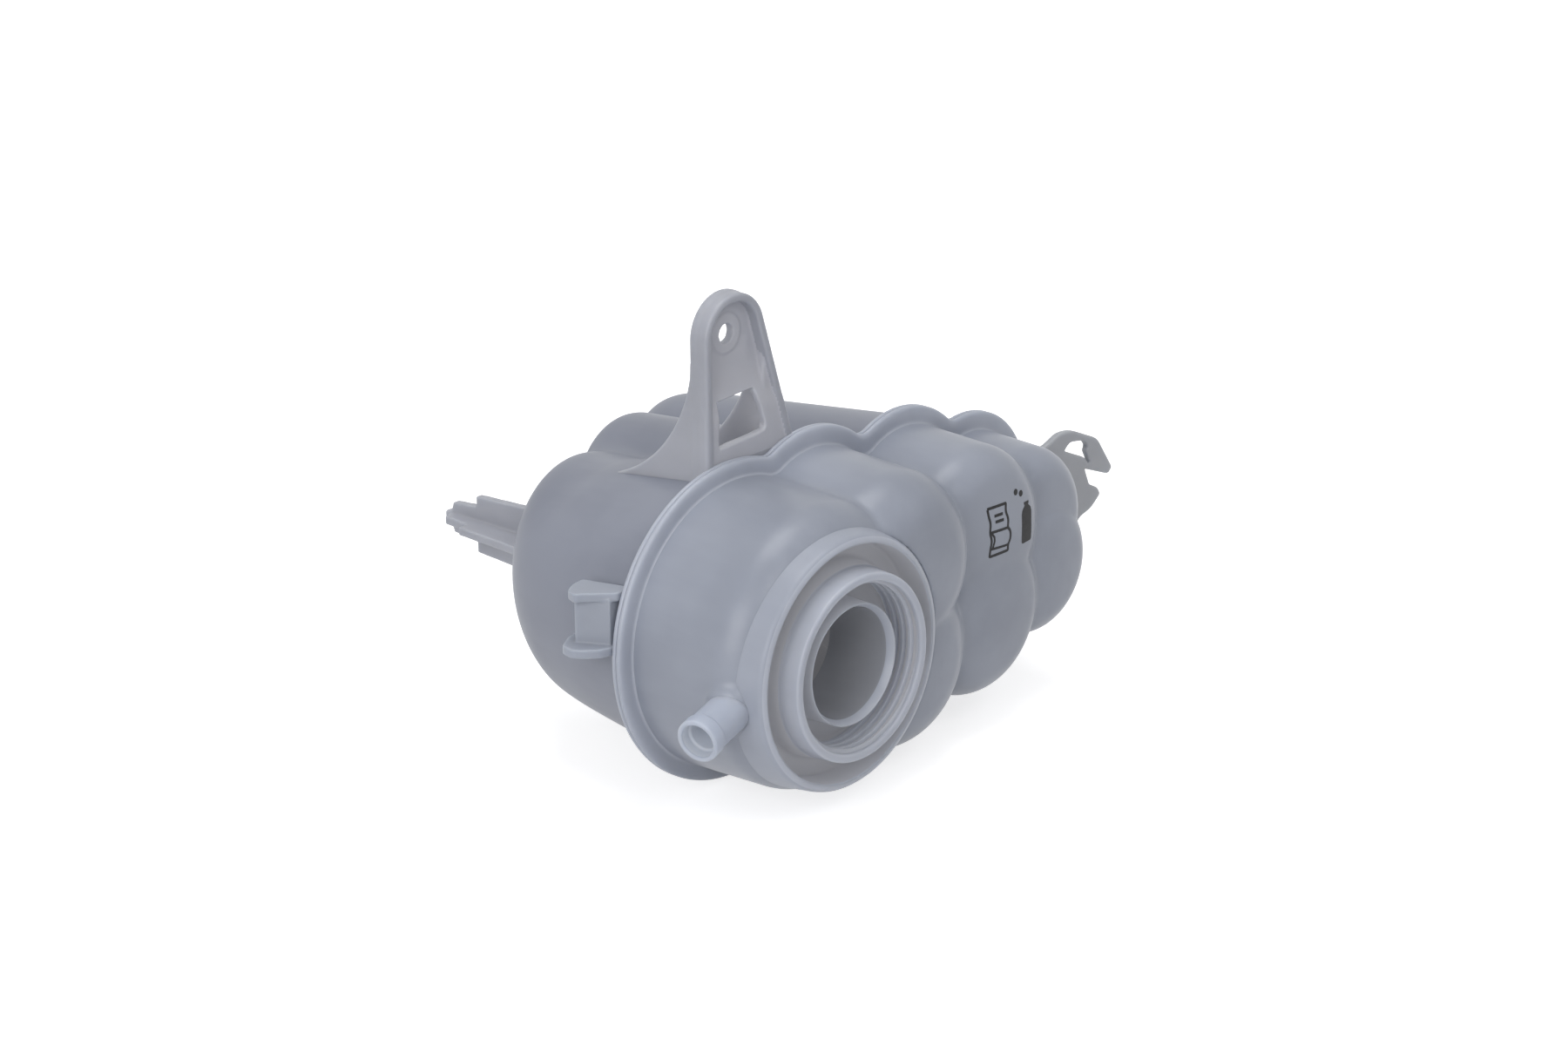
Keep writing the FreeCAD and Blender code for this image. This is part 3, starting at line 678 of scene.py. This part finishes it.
# share of the way from the wall to the edge, and height over the weld plane
RIM_PROFILE = np.array([
    (-0.42, 0.02), (0.30, 0.02), (0.90, 0.02), (0.945, 0.10), (0.975, 0.28), (0.995, 0.55), (1.0, 0.80),
    (0.99, 1.12), (0.96, 1.42), (0.91, 1.66), (0.83, 1.86), (0.72, 2.01), (0.58, 2.11), (0.42, 2.16),
    (0.26, 2.18), (0.14, 2.20), (0.07, 2.28), (0.02, 2.48), (-0.03, 2.85), (-0.42, 2.85)])


def weld_rim(name, side):
    """Each outline point's foot and edge are mixed by the profile's share, and raised by its height."""
    share = RIM_PROFILE[None, :, 0, None]
    flat = rim_foot[:, None, :] * (1 - share) + rim_edge[:, None, :] * share
    height = np.broadcast_to(RIM_PROFILE[None, :, 1] * side, flat.shape[:2])
    points = np.stack([flat[..., 0], height, flat[..., 1]], -1)
    # The rim takes the paler finish with its painted light.
    item = add_piece(name, points.reshape(-1, 3), ring_faces(len(rim_foot), len(RIM_PROFILE)), WELD_RIM_LIT, 50)
    outward_faces(item)


weld_rim("front_rim", -1)
weld_rim("rear_rim", 1)

# %% [markdown]
# The collar and all inside it are round about one axis, as if turned on a lathe: the collar's cone, the
# deck, the neck, and the standing tube that the cap's plug seals. The profile below goes once around the
# plastic. Corners get a few points on an arc, because a moulded corner is never sharp.

# %% Neck profile


def with_arcs(corners, steps=5):
    """Replaces each corner (x, y, cut) by points on a curve that starts and ends that far from it."""
    corners = np.array(corners, float)
    before = np.roll(corners, 1, 0)
    after = np.roll(corners, -1, 0)
    out = []
    for here, last, following in zip(corners, before, after):
        if here[2] == 0:
            out.append(here[:2])
            continue
        one = here[:2] + unit(last[:2] - here[:2]) * here[2]
        two = here[:2] + unit(following[:2] - here[:2]) * here[2]
        for part in np.linspace(0, 1, steps):
            out.append((1 - part) ** 2 * one + 2 * part * (1 - part) * here[:2] + part ** 2 * two)
    return np.array(out)


# distance from the neck's axis, depth ahead of the weld plane, corner cut
COLLAR_AND_NECK = [
    (42.94, 37.5, 0), (41.0, 51.55, 2.3), (38.3, 51.55, 0.6), (38.2, 41.5, 1.4),
    (31.7, 41.5, 1.6), (31.0, 49.0, 0.5), (30.6, 49.6, 0.4), (30.3, 56.4, 1.0), (27.5, 56.4, 0.9),
    (27.4, 55.0, 0), (27.4, 41.5, 0.9), (19.9, 41.5, 0.8), (19.7, 52.6, 0.35), (19.35, 52.6, 0.15),
    (17.95, 50.0, 0.9), (18.0, 26.5, 0.5), (19.7, 26.5, 0.5), (19.9, 38.6, 0.9), (39.5, 38.6, 0)]


def turned(name, corners, finish, around, start, way, side):
    """A closed profile carried around the axis through start along way. side is square to the axis."""
    profile = with_arcs(corners)
    angle = np.linspace(0, 2 * math.pi, around, endpoint=False)[:, None, None]
    radial = np.cos(angle) * side + np.sin(angle) * np.cross(way, side)
    points = start + radial * profile[None, :, 0, None] + way * profile[None, :, 1, None]
    item = add_piece(name, points.reshape(-1, 3), ring_faces(around, len(profile)), finish, 50)
    outward_faces(item)
    return item


def finish_faces(item, finish, where):
    """Gives one more finish to the faces whose middles, in drawing millimetres, pass a test."""
    item.data.materials.append(finish)
    count = len(item.data.polygons)
    middle = np.empty(count * 3)
    item.data.polygons.foreach_get("center", middle)
    number = np.empty(count, np.int32)
    item.data.polygons.foreach_get("material_index", number)
    chosen = where(middle.reshape(-1, 3) * 1000.0 - MOUTH)
    number[chosen] = len(item.data.materials) - 1
    item.data.polygons.foreach_set("material_index", number)
    print(item.name, "has", int(chosen.sum()), "faces of", finish.name)


def in_moat(middle):
    """True between the collar's inside and the neck's shoulder, and in the ring around the tube."""
    away = neck_distance(middle)
    ahead = -middle[:, 1]
    outer_ring = (away > 31.0) & (away < 38.5) & (ahead < 51.2)
    inner_ring = (away > 19.75) & (away < 27.6) & (ahead < 51.0)
    return outer_ring | inner_ring


def in_tube(middle):
    """True in the tube's bore, behind its widened mouth."""
    return (neck_distance(middle) < 18.1) & (middle[:, 1] > -50.0)


def on_cone(middle):
    """True on the collar's outside."""
    return neck_distance(middle) > 40.5


filler_neck = turned("filler_neck", COLLAR_AND_NECK, NECK_WALL_GLOW, 220, np.array([NECK_RUN, 0.0, NECK_RISE]),
                     np.array([0.0, -1.0, 0.0]), np.array([1.0, 0.0, 0.0]))
# The shaded ring around the neck and the tube gets the finish with painted light.
finish_faces(filler_neck, MOAT_PAINTED_LIGHT, in_moat)
# The tube's bore gets the finish with painted shade and a painted glow.
finish_faces(filler_neck, TUBE_BORE_SHADE_AND_GLOW, in_tube)
finish_faces(filler_neck, COLLAR_WALL, on_cone)

# %% [markdown]
# The thread inside the neck is one ridge that winds up the wall. On a sleeve with two parameters, angle and
# depth, it is only a change of radius: the ridge stands where the depth, less the pitch times the turns
# made, is near a whole number of pitches. One turn later it has moved by one pitch, so the seam closes.

# %% Thread
THREAD_PITCH = 3.1
THREAD_RIDGE = 1.15
THREAD_START = 42.0
THREAD_END = 55.6
THREAD_WALL = 27.5
SLEEVE_OUTSIDE = 28.6
AROUND = 288


def thread_radius(angle, depth):
    """The wall's radius, less a ridge with a rounded top that fades out at the first and last turn."""
    turn = (depth - 43.0) / THREAD_PITCH - angle / (2 * math.pi)
    ridge = 1 - eased(np.abs(turn - np.round(turn)), 0.16, 0.36)
    fade = np.clip((depth - 42.6) / 1.2, 0.0, 1.0) * np.clip((55.2 - depth) / 1.2, 0.0, 1.0)
    return THREAD_WALL - THREAD_RIDGE * ridge * fade


angle, depth = np.meshgrid(np.linspace(0, 2 * math.pi, AROUND, endpoint=False),
                           np.linspace(THREAD_START, THREAD_END, 110), indexing="ij")
both_ends = np.broadcast_to([THREAD_END, THREAD_START], (AROUND, 2))
sleeve = np.concatenate([thread_radius(angle, depth), np.full((AROUND, 2), SLEEVE_OUTSIDE)], 1)
sleeve_depth = np.concatenate([depth, both_ends], 1)
points = np.stack([NECK_RUN + sleeve * np.cos(angle[:, :1]), -sleeve_depth,
                   NECK_RISE + sleeve * np.sin(angle[:, :1])], -1).reshape(-1, 3)
neck_thread = add_piece("neck_thread", points, ring_faces(AROUND, sleeve.shape[1]), NECK_WALL_GLOW, 60)
outward_faces(neck_thread)
print("thread of", THREAD_PITCH, "mm pitch")

# %% [markdown]
# The hose nipple is turned about its own axis: a stem, a bead at the end that keeps the hose on, and a bore.

# %% Hose nipple
NIPPLE_PROFILE = [
    # distance from the axis, way along it, corner cut
    (6.62, -4.0, 0), (6.58, 13.1, 0.4), (7.1, 13.7, 0.4), (7.1, 18.4, 0.9), (5.5, 18.4, 0.7),
    (5.4, 14.6, 0.3), (4.7, 14.0, 0.3), (4.6, -4.0, 0)]


def in_bore(middle):
    """True nearer than 5.45 mm to the nipple's axis."""
    return from_nipple_axis(middle)[1] < 5.45


nipple_side = unit(np.cross(NIPPLE_WAY, [0.0, 1.0, 0.0]))
hose_nipple = turned("hose_nipple", NIPPLE_PROFILE, NIPPLE_WALL, 120, NIPPLE_ROOT, NIPPLE_WAY, nipple_side)
# The bore gets the paler finish with its painted light.
finish_faces(hose_nipple, NIPPLE_BORE_LIT, in_bore)

# %% [markdown]
# The bracket, clip, lug and peg are plates. Their outlines are distances too, so that every edge can be
# rounded by the same rule as the valleys. For a polygon, the distance is the least distance to its sides,
# negative for a point inside.

# %% Outlines as distances


def outline_of(corners, across):
    """Signed distance from flat points to a polygon.

    It is the distance to the nearest side, and an even-odd count of the sides crossed gives its sign.
    """
    corners = np.array(corners, float)
    least = np.full(across.shape[:-1], 1e9)
    inside = np.zeros(across.shape[:-1], bool)
    for here, there in zip(corners, np.roll(corners, -1, 0)):
        side = there - here
        from_here = across - here
        share = np.clip((from_here @ side) / (side @ side), 0.0, 1.0)
        least = np.minimum(least, ((from_here - share[..., None] * side) ** 2).sum(-1))
        straddles = (here[1] > across[..., 1]) != (there[1] > across[..., 1])
        height = side[1] if side[1] != 0 else 1e-12
        ahead = across[..., 0] < here[0] + side[0] * (across[..., 1] - here[1]) / height
        inside ^= straddles & ahead
    return np.sqrt(least) * np.where(inside, -1.0, 1.0)


ACROSS_AND_UP = [0, 2]
ACROSS_AND_BACK = [0, 1]

# %% [markdown]
# The bracket carries the tank: a bolt goes through its eye, and two fins behind it stop it bending. Its
# front is scooped out around the eye, deep at the top and running out to nothing at the window below.

# %% Bracket
EYE_RUN = 5.2
EYE_RISE = 91.2
EYE_ROUND = 13.5
BOLT_HOLE = 3.2
BRACKET_FOOT = 34.0
BORDER_WIDTH = 2.7
BORDER_DEPTH = 8.0
SHEET_THICK = 2.5
FIN_HALF = 1.3
LEAN = math.radians(17.1)


def bracket_outline(points):
    """A circle about the eye above, and below it the overlap of an upright side and a leaning one."""
    run = points[..., 0] - EYE_RUN
    rise = points[..., 2] - EYE_RISE
    above = (rise > 0) & (rise * math.cos(LEAN) > run * math.sin(LEAN))
    upright = -EYE_ROUND - run
    leaning = run * math.cos(LEAN) + rise * math.sin(LEAN) - EYE_ROUND
    return np.where(above, np.hypot(run, rise) - EYE_ROUND, np.maximum(upright, leaning))


def fin(points, middle):
    """An upright plate behind the bracket, whose free edge is part of a hollow circle."""
    back = points[..., 1]
    rise = points[..., 2]
    hollow = FIN_RADIUS - np.hypot(back - FIN_CENTRE[0], rise - FIN_CENTRE[1])
    return trimmed([hollow, np.abs(points[..., 0] - middle) - FIN_HALF, BRACKET_FOOT - rise, 3.0 - back,
                    back - 43.0, rise - 84.0], 0.6)


def circle_through(one, two, three):
    """Centre and radius of the circle through three flat points, from two chords' midlines."""
    left = 2 * np.array([np.subtract(two, one), np.subtract(three, one)])
    right = np.array([np.dot(two, two) - np.dot(one, one), np.dot(three, three) - np.dot(one, one)])
    centre = np.linalg.solve(left, right)
    return centre, float(np.hypot(*(centre - one)))


WINDOW = [(-2.2, 56.0), (15.4, 56.9), (18.2, 57.3), (19.0, 58.5), (18.6, 60.2), (15.1, 71.4), (-1.9, 70.7)]
FIN_CENTRE, FIN_RADIUS = circle_through((8.0, 82.0), (18.4, 57.5), (38.0, 42.2))


def bracket_form(points):
    """A deep border and a thin sheet inside it, whose depth changes with the height."""
    back = points[..., 1]
    shape = bracket_outline(points)
    sheet_front = 1.6 + 3.9 * eased(points[..., 2], 64.0, 81.0)
    whole = trimmed([shape, back - BORDER_DEPTH, 1.0 - back, BRACKET_FOOT - points[..., 2]], 0.9)
    border = trimmed([whole, -(shape + BORDER_WIDTH)], 0.6)
    sheet = trimmed([whole, sheet_front - back, back - sheet_front - SHEET_THICK], 0.4)
    plate = grown_together([border, sheet], 0.9)
    eye = np.hypot(points[..., 0] - EYE_RUN, points[..., 2] - EYE_RISE)
    boss = trimmed([eye - 6.4, np.abs(back - 6.5) - 1.4], 0.35)
    body = grown_together([plate, boss, fin(points, -7.0), fin(points, 20.9)], 0.8)
    window = outline_of(WINDOW, points[..., ACROSS_AND_UP])
    return trimmed([body, BOLT_HOLE - eye, -window], 0.35)


def on_web(middle):
    """True on the sheet inside the bracket's border, and on the side of the far fin behind the window."""
    sheet = (bracket_outline(middle) < -2.8) & (middle[:, 1] < 8.2) & (middle[:, 2] > 50.0)
    return sheet | ((middle[:, 0] > 19.2) & (middle[:, 0] < 20.0) & (middle[:, 1] > 8.2))


bracket = moulding("bracket", bracket_form, (-11.0, -1.0, 32.0), (39.0, 45.0, 107.0), 0.62, THIN_RIB_GLOW)
# The sheet and the far fin's side behind the window, both in shade, get the finish with painted light.
finish_faces(bracket, THIN_WEB_LIT, on_web)

# %% [markdown]
# The clip holds a cable beside the large lobe: two tongues and an upright web between them. Each tongue is
# widest at its free end and grows out of the rim's back.

# %% Clip
UPPER_TONGUE = [(-33.0, 2.1, 0), (-48.6, 2.1, 0.8), (-55.8, 9.4, 1.5), (-58.3, 11.4, 1.2), (-56.9, 15.4, 1.2),
                (-52.4, 18.0, 1.5), (-46.8, 18.9, 1.2), (-42.5, 4.5, 0), (-33.0, 3.0, 0)]
LOWER_TONGUE = [(-33.0, 2.1, 0), (-51.6, 2.1, 1.2), (-55.6, 3.4, 1.2), (-59.2, 6.8, 1.5), (-61.4, 10.2, 1.5),
                (-60.4, 14.9, 1.2), (-53.6, 18.9, 1.5), (-48.5, 19.6, 1.2), (-43.5, 4.5, 0), (-33.0, 3.0, 0)]
CLIP_WEB = [(-35.2, 3.6), (-50.7, 3.6), (-55.9, 13.6), (-54.9, 14.4), (-35.2, 14.4)]
UPPER_BASE = 18.6
LOWER_BASE = 1.6
TONGUE_HALF = 1.45


def tongue(points, corners, base):
    """A plate 2.9 mm thick that stands out from the lobe's side, with its outline in the plane of X and Y."""
    edge = outline_of(with_arcs(corners, 4), points[..., ACROSS_AND_BACK])
    return trimmed([edge, np.abs(points[..., 2] - base - TONGUE_HALF) - TONGUE_HALF], 0.35)


def clip_form(points):
    """Two tongues and the web that joins them."""
    web = outline_of(CLIP_WEB, points[..., ACROSS_AND_BACK])
    upright = trimmed([web, LOWER_BASE - points[..., 2], points[..., 2] - UPPER_BASE - 1.0], 0.3)
    tongues = [tongue(points, UPPER_TONGUE, UPPER_BASE), tongue(points, LOWER_TONGUE, LOWER_BASE)]
    return grown_together(tongues + [upright], 0.5)


moulding("cable_clip", clip_form, (-63.0, 0.5, 0.0), (-40.0, 24.5, 23.5), 0.42, THIN_CLIP)

# %% [markdown]
# The lug at the far end is one flat plate with a hooked loop for a strap and a short tab below it.

# %% Lug
LUG_OUTLINE = [
    (138.0, -22.0, 0), (150.0, 13.0, 1.5), (160.4, 15.0, 2.5), (166.0, 17.4, 2.5), (173.0, 16.8, 3.0),
    (187.0, 10.4, 2.5), (195.6, -2.4, 1.2), (193.4, -4.4, 1.2), (180.3, 0.9, 0.5), (182.9, -5.4, 1.0),
    (187.6, -7.8, 1.2), (189.2, -10.6, 1.2), (184.0, -14.6, 2.0), (178.0, -16.0, 2.0), (168.0, -26.0, 3.0),
    (150.0, -27.0, 0)]
LUG_OPENING = [
    (168.8, 10.4, 0.8), (172.0, 12.8, 1.5), (179.8, 11.4, 1.2), (181.9, 8.8, 0.8), (181.0, 7.0, 0.6),
    (183.2, 2.8, 0.3), (182.3, 2.4, 0.3), (180.2, 5.0, 0.8), (178.6, 5.9, 0.8)]
LUG_HALF = 1.3


def lug_form(points):
    """The outline less the loop's opening, between two flat faces 2.6 mm apart."""
    border = outline_of(with_arcs(LUG_OUTLINE, 4), points[..., ACROSS_AND_UP])
    opening = outline_of(with_arcs(LUG_OPENING, 3), points[..., ACROSS_AND_UP])
    return trimmed([border, -opening, np.abs(points[..., 1] - LUG_HALF) - LUG_HALF], 0.55)


moulding("end_lug", lug_form, (140.0, -1.0, -29.0), (197.0, 4.0, 19.0), 0.5, THIN_LUG)

# %% [markdown]
# The peg plugs into a rubber grommet in the car. It is a cross of two ribs that get narrower in two steps.

# %% Peg
PEG_STEPS = [
    # depth, half width
    (60.0, 12.4), (107.5, 9.8), (107.5, 6.2), (118.5, 5.2), (119.3, 2.4), (121.8, 1.6)]
RIB_HALF = 1.4
PEG_RUN = -5.0
PEG_RISE = 7.0


def rib(points, across, thin):
    """One rib: the stepped outline on both sides of the middle, with soft edges."""
    ring = [(depth, half, 0.3) for depth, half in PEG_STEPS]
    ring = ring + [(depth, -half, 0.3) for depth, half in reversed(PEG_STEPS)]
    along = np.stack([points[..., 1], across], -1)
    return trimmed([outline_of(with_arcs(ring, 3), along), np.abs(thin) - RIB_HALF], 0.35)


def peg_form(points):
    """Two ribs that cross on the peg's axis."""
    run = points[..., 0] - PEG_RUN
    rise = points[..., 2] - PEG_RISE
    return grown_together([rib(points, rise, run), rib(points, run, rise)], 0.8)


moulding("locating_peg", peg_form, (-19.0, 62.0, -7.0), (9.0, 124.0, 21.0), 0.46, THIN_RIB_GLOW)

# %% [markdown]
# Two small pictures, an open book and a bottle with two drops, are printed on the second upper lobe. They
# could be a texture, but then the mesh alone would lack them. So each is a flat grid of points that is
# dropped onto the lobe and stands a hair proud of it, like a layer of ink.

# %% Printed marks
INK, ink_nodes, ink_links, ink_shader = new_finish("printed_ink", 0.55, 0.25)
ink_place = ink_nodes.new("ShaderNodeTexCoord").outputs["Object"]
ink_noise = noise(ink_nodes, ink_links, ink_place, 700.0, 2.0).outputs["Fac"]
ink_colour = between(ink_nodes, ink_links, ink_noise, (0.008, 0.008, 0.009, 1.0), (0.022, 0.022, 0.024, 1.0))
ink_links.new(ink_colour, ink_shader.inputs["Base Color"])
INK_PROUD = 0.06
INK_SUNK = 0.15
MARKED_LOBE = FRONT_LOBES[3]


def stroke(path, width):
    """A grid of three columns: a path, cut into steps of 0.35 mm, and its two sides at half the width."""
    path = np.array(path, float)
    marks = np.concatenate([[0.0], np.cumsum(np.linalg.norm(np.diff(path, axis=0), axis=1))])
    fine = np.linspace(0, marks[-1], max(6, int(marks[-1] / 0.35)))
    line = np.stack([np.interp(fine, marks, path[:, k]) for k in range(2)], -1)
    way = np.gradient(line, axis=0)
    way = way / np.maximum(np.linalg.norm(way, axis=1, keepdims=True), 1e-9)
    side = np.stack([-way[:, 1], way[:, 0]], -1)
    return line[:, None, :] + side[:, None, :] * np.array([-0.5, 0.0, 0.5])[None, :, None] * width


def filled(rises, middles, halves, columns=9):
    """A grid whose every row runs from the middle less the half width to the middle plus it."""
    share = np.linspace(-1, 1, columns)[None, :]
    across = np.array(middles, float)[:, None] + np.array(halves, float)[:, None] * share
    return np.stack([across, np.broadcast_to(np.array(rises, float)[:, None], across.shape)], -1)


def dot(run, rise, radius):
    """A filled circle: the half width is the cosine of the angle whose sine is the height."""
    turn = np.linspace(-1.5, 1.5, 17)
    return filled(rise + radius * np.sin(turn), np.full(17, run), radius * np.cos(turn))


def printed(flat):
    """A grid of (across, up) points from the lobe's middle, dropped onto the lobe along Y.

    It becomes a sheet a hair proud of the lobe, one inside it, and a border between them.
    """
    rows, columns = flat.shape[:2]
    count = rows * columns
    run, rise = MARKED_LOBE[:2]
    points = np.stack([run + flat[..., 0], np.full((rows, columns), -42.4), rise + flat[..., 1]], -1)
    points = points.reshape(-1, 3)
    for _ in range(8):
        slope = slope_of(front_form, points)
        points[:, 1] -= front_form(points) / np.minimum(slope[:, 1], -0.3)
    lift = slope / np.linalg.norm(slope, axis=1, keepdims=True)
    number = np.arange(count).reshape(rows, columns)
    top = np.stack([number[:-1, :-1], number[1:, :-1], number[1:, 1:], number[:-1, 1:]], -1).reshape(-1, 4)
    edge = np.concatenate([number[0, :], number[1:, -1], number[-1, -2::-1], number[-2:0:-1, 0]])
    after = np.roll(edge, -1)
    border = np.stack([edge, after, after + count, edge + count], -1)
    both = np.concatenate([points + lift * INK_PROUD, points - lift * INK_SUNK])
    return both, np.concatenate([top, top[:, ::-1] + count, border])


# across and up from the lobe's middle, corner cut
BOOK_EDGE = [(-4.8, 11.9, 0.2), (4.5, 11.6, 0.2), (4.1, 9.0, 1.2), (5.5, 5.8, 1.2), (4.9, 3.4, 0.8),
             (6.5, 1.6, 1.0), (6.5, -0.8, 1.0), (5.1, -2.8, 0.8), (5.2, -4.6, 0.2), (-4.2, -4.4, 0.2),
             (-3.9, -2.2, 1.0), (-3.1, 0.9, 1.2), (-4.1, 3.8, 1.2), (-3.5, 6.6, 1.2), (-4.4, 9.4, 1.2)]
book_edge = with_arcs(BOOK_EDGE, 4)
bottle_rises = [-5.0, -4.7, -4.2, 0.0, 5.0, 6.2, 6.9, 7.3, 7.7, 8.0, 8.05, 8.9]
bottle_halves = [2.3, 2.7, 2.9, 2.9, 2.9, 2.6, 2.0, 1.4, 1.1, 1.05, 1.35, 1.35]
marks = [stroke(np.concatenate([book_edge, book_edge[:1]]), 0.95), stroke([(-4.0, 3.7), (4.9, 3.2)], 0.9),
         stroke([(-3.6, -2.0), (5.2, -2.7)], 0.8),
         stroke([(-3.4, 3.6), (-1.9, 1.8), (-1.8, 0.4), (-2.7, -1.9)], 0.8),
         stroke([(-1.6, 8.8), (2.6, 8.6)], 1.0), stroke([(-1.2, 6.7), (3.0, 6.5)], 1.0),
         filled(bottle_rises, np.full(12, 15.9), bottle_halves), dot(10.2, 13.6, 1.05), dot(13.0, 12.4, 1.05)]
mark_points = []
mark_faces = []
for flat in marks:
    points, faces = printed(flat)
    mark_faces.append(faces + sum(len(part) for part in mark_points))
    mark_points.append(points)
printed_marks = add_piece("printed_marks", np.concatenate(mark_points), np.concatenate(mark_faces), INK, 40)
outward_faces(printed_marks)
print("printed", len(marks), "marks")

# %% [markdown]
# The floor is plain and pale. It is placed at the tank's lowest point. Seen by the camera it is nearly
# white, and it still takes the soft shadow.

# %% Floor


def sees_backdrop(nodes, links):
    """1 for the rays that see the backdrop as it looks: camera, glossy and transmission rays."""
    ray = nodes.new("ShaderNodeLightPath")
    value = ray.outputs["Is Camera Ray"]
    for kind in ("Is Glossy Ray", "Is Transmission Ray"):
        larger = nodes.new("ShaderNodeMath")
        larger.operation = "MAXIMUM"
        links.new(value, larger.inputs[0])
        links.new(ray.outputs[kind], larger.inputs[1])
        value = larger.outputs["Value"]
    return value


FLOOR_GLOW = 0.70
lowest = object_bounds()[0][2]
bpy.ops.mesh.primitive_plane_add(size=14.0, location=(0.06, 0.05, lowest - 0.0002))
floor = bpy.context.object
floor.name = "floor"
PAPER, paper_nodes, paper_links, paper = new_finish("pale_paper", 0.9, 0.1)
paper.inputs["Base Color"].default_value = (0.70, 0.70, 0.71, 1.0)
glow = paper_nodes.new("ShaderNodeEmission")
glow.inputs["Color"].default_value = (1.0, 1.0, 1.0, 1.0)
seen = paper_nodes.new("ShaderNodeMath")
seen.operation = "MULTIPLY"
seen.inputs[1].default_value = FLOOR_GLOW
added = paper_nodes.new("ShaderNodeAddShader")
paper_links.new(sees_backdrop(paper_nodes, paper_links), seen.inputs[0])
paper_links.new(seen.outputs["Value"], glow.inputs["Strength"])
paper_links.new(paper.outputs["BSDF"], added.inputs[0])
paper_links.new(glow.outputs["Emission"], added.inputs[1])
paper_links.new(added.outputs["Shader"], paper_nodes["Material Output"].inputs["Surface"])
floor.data.materials.append(PAPER)

# %% [markdown]
# The light is a bright tent: an even pale world, a large soft lamp from the left, a weak one high in front,
# and one right above, which puts the soft bright spots on the lobes' shoulders.

# %% Light
TENT_LIGHT = 0.33
world = bpy.data.worlds.new("tent")
bpy.context.scene.world = world
world.use_nodes = True
tent_nodes = world.node_tree.nodes
tent_links = world.node_tree.links
tent = tent_nodes["Background"]
tent.inputs["Color"].default_value = (1.0, 1.0, 1.0, 1.0)
level = tent_nodes.new("ShaderNodeMapRange")
level.inputs["To Min"].default_value = TENT_LIGHT
level.inputs["To Max"].default_value = 1.0
tent_links.new(sees_backdrop(tent_nodes, tent_links), level.inputs["Value"])
tent_links.new(level.outputs["Result"], tent.inputs["Strength"])


def stand(name, data, place, right, up, back):
    """A lamp or camera at a place in metres, turned to three directions: its right, its up and its back."""
    item = bpy.data.objects.new(name, data)
    bpy.context.collection.objects.link(item)
    rows = [[right[k], up[k], back[k], place[k]] for k in range(3)]
    item.matrix_world = Matrix(rows + [[0.0, 0.0, 0.0, 1.0]])
    return item


def lamp(name, place, width, power):
    """A square soft lamp that looks at the tank's middle."""
    data = bpy.data.lights.new(name, "AREA")
    data.shape = "SQUARE"
    data.size = width
    data.energy = power
    back = unit(np.subtract(place, (0.04, 0.08, 0.0)))
    right = unit(np.cross([0.0, 0.0, 1.0], back))
    stand(name, data, place, right, np.cross(back, right), back)


lamp("left_softbox", (-1.82, -0.48, 0.75), 1.2, 18.5)
lamp("front_softbox", (-0.45, -1.35, 1.30), 0.6, 5.5)
lamp("top_softbox", (0.02, 0.1, 1.9), 1.05, 16.0)

# %% [markdown]
# The camera stands where the photographer's did, found by matching rims and lobes. Its lens is long, so
# there is little perspective. The three directions below are its right, its up and its back.

# %% Camera
AZIMUTH = math.radians(-47.888)
ELEVATION = math.radians(20.1105)
ROLL = math.radians(-0.5506)
back = np.array([math.sin(AZIMUTH) * math.cos(ELEVATION), -math.cos(AZIMUTH) * math.cos(ELEVATION),
                 math.sin(ELEVATION)])
right = np.array([math.cos(AZIMUTH), math.sin(AZIMUTH), 0.0])
up = np.cross(back, right)
rolled_right = math.cos(ROLL) * right + math.sin(ROLL) * up
rolled_up = -math.sin(ROLL) * right + math.cos(ROLL) * up
camera_data = bpy.data.cameras.new("camera")
camera_data.sensor_width = 36.0
camera_data.lens = 100.1
bpy.context.scene.camera = stand("camera", camera_data, (-0.9376606, -0.8151836, 0.5028138),
                                 rolled_right, rolled_up, back)
bpy.context.scene.view_settings.view_transform = "Standard"
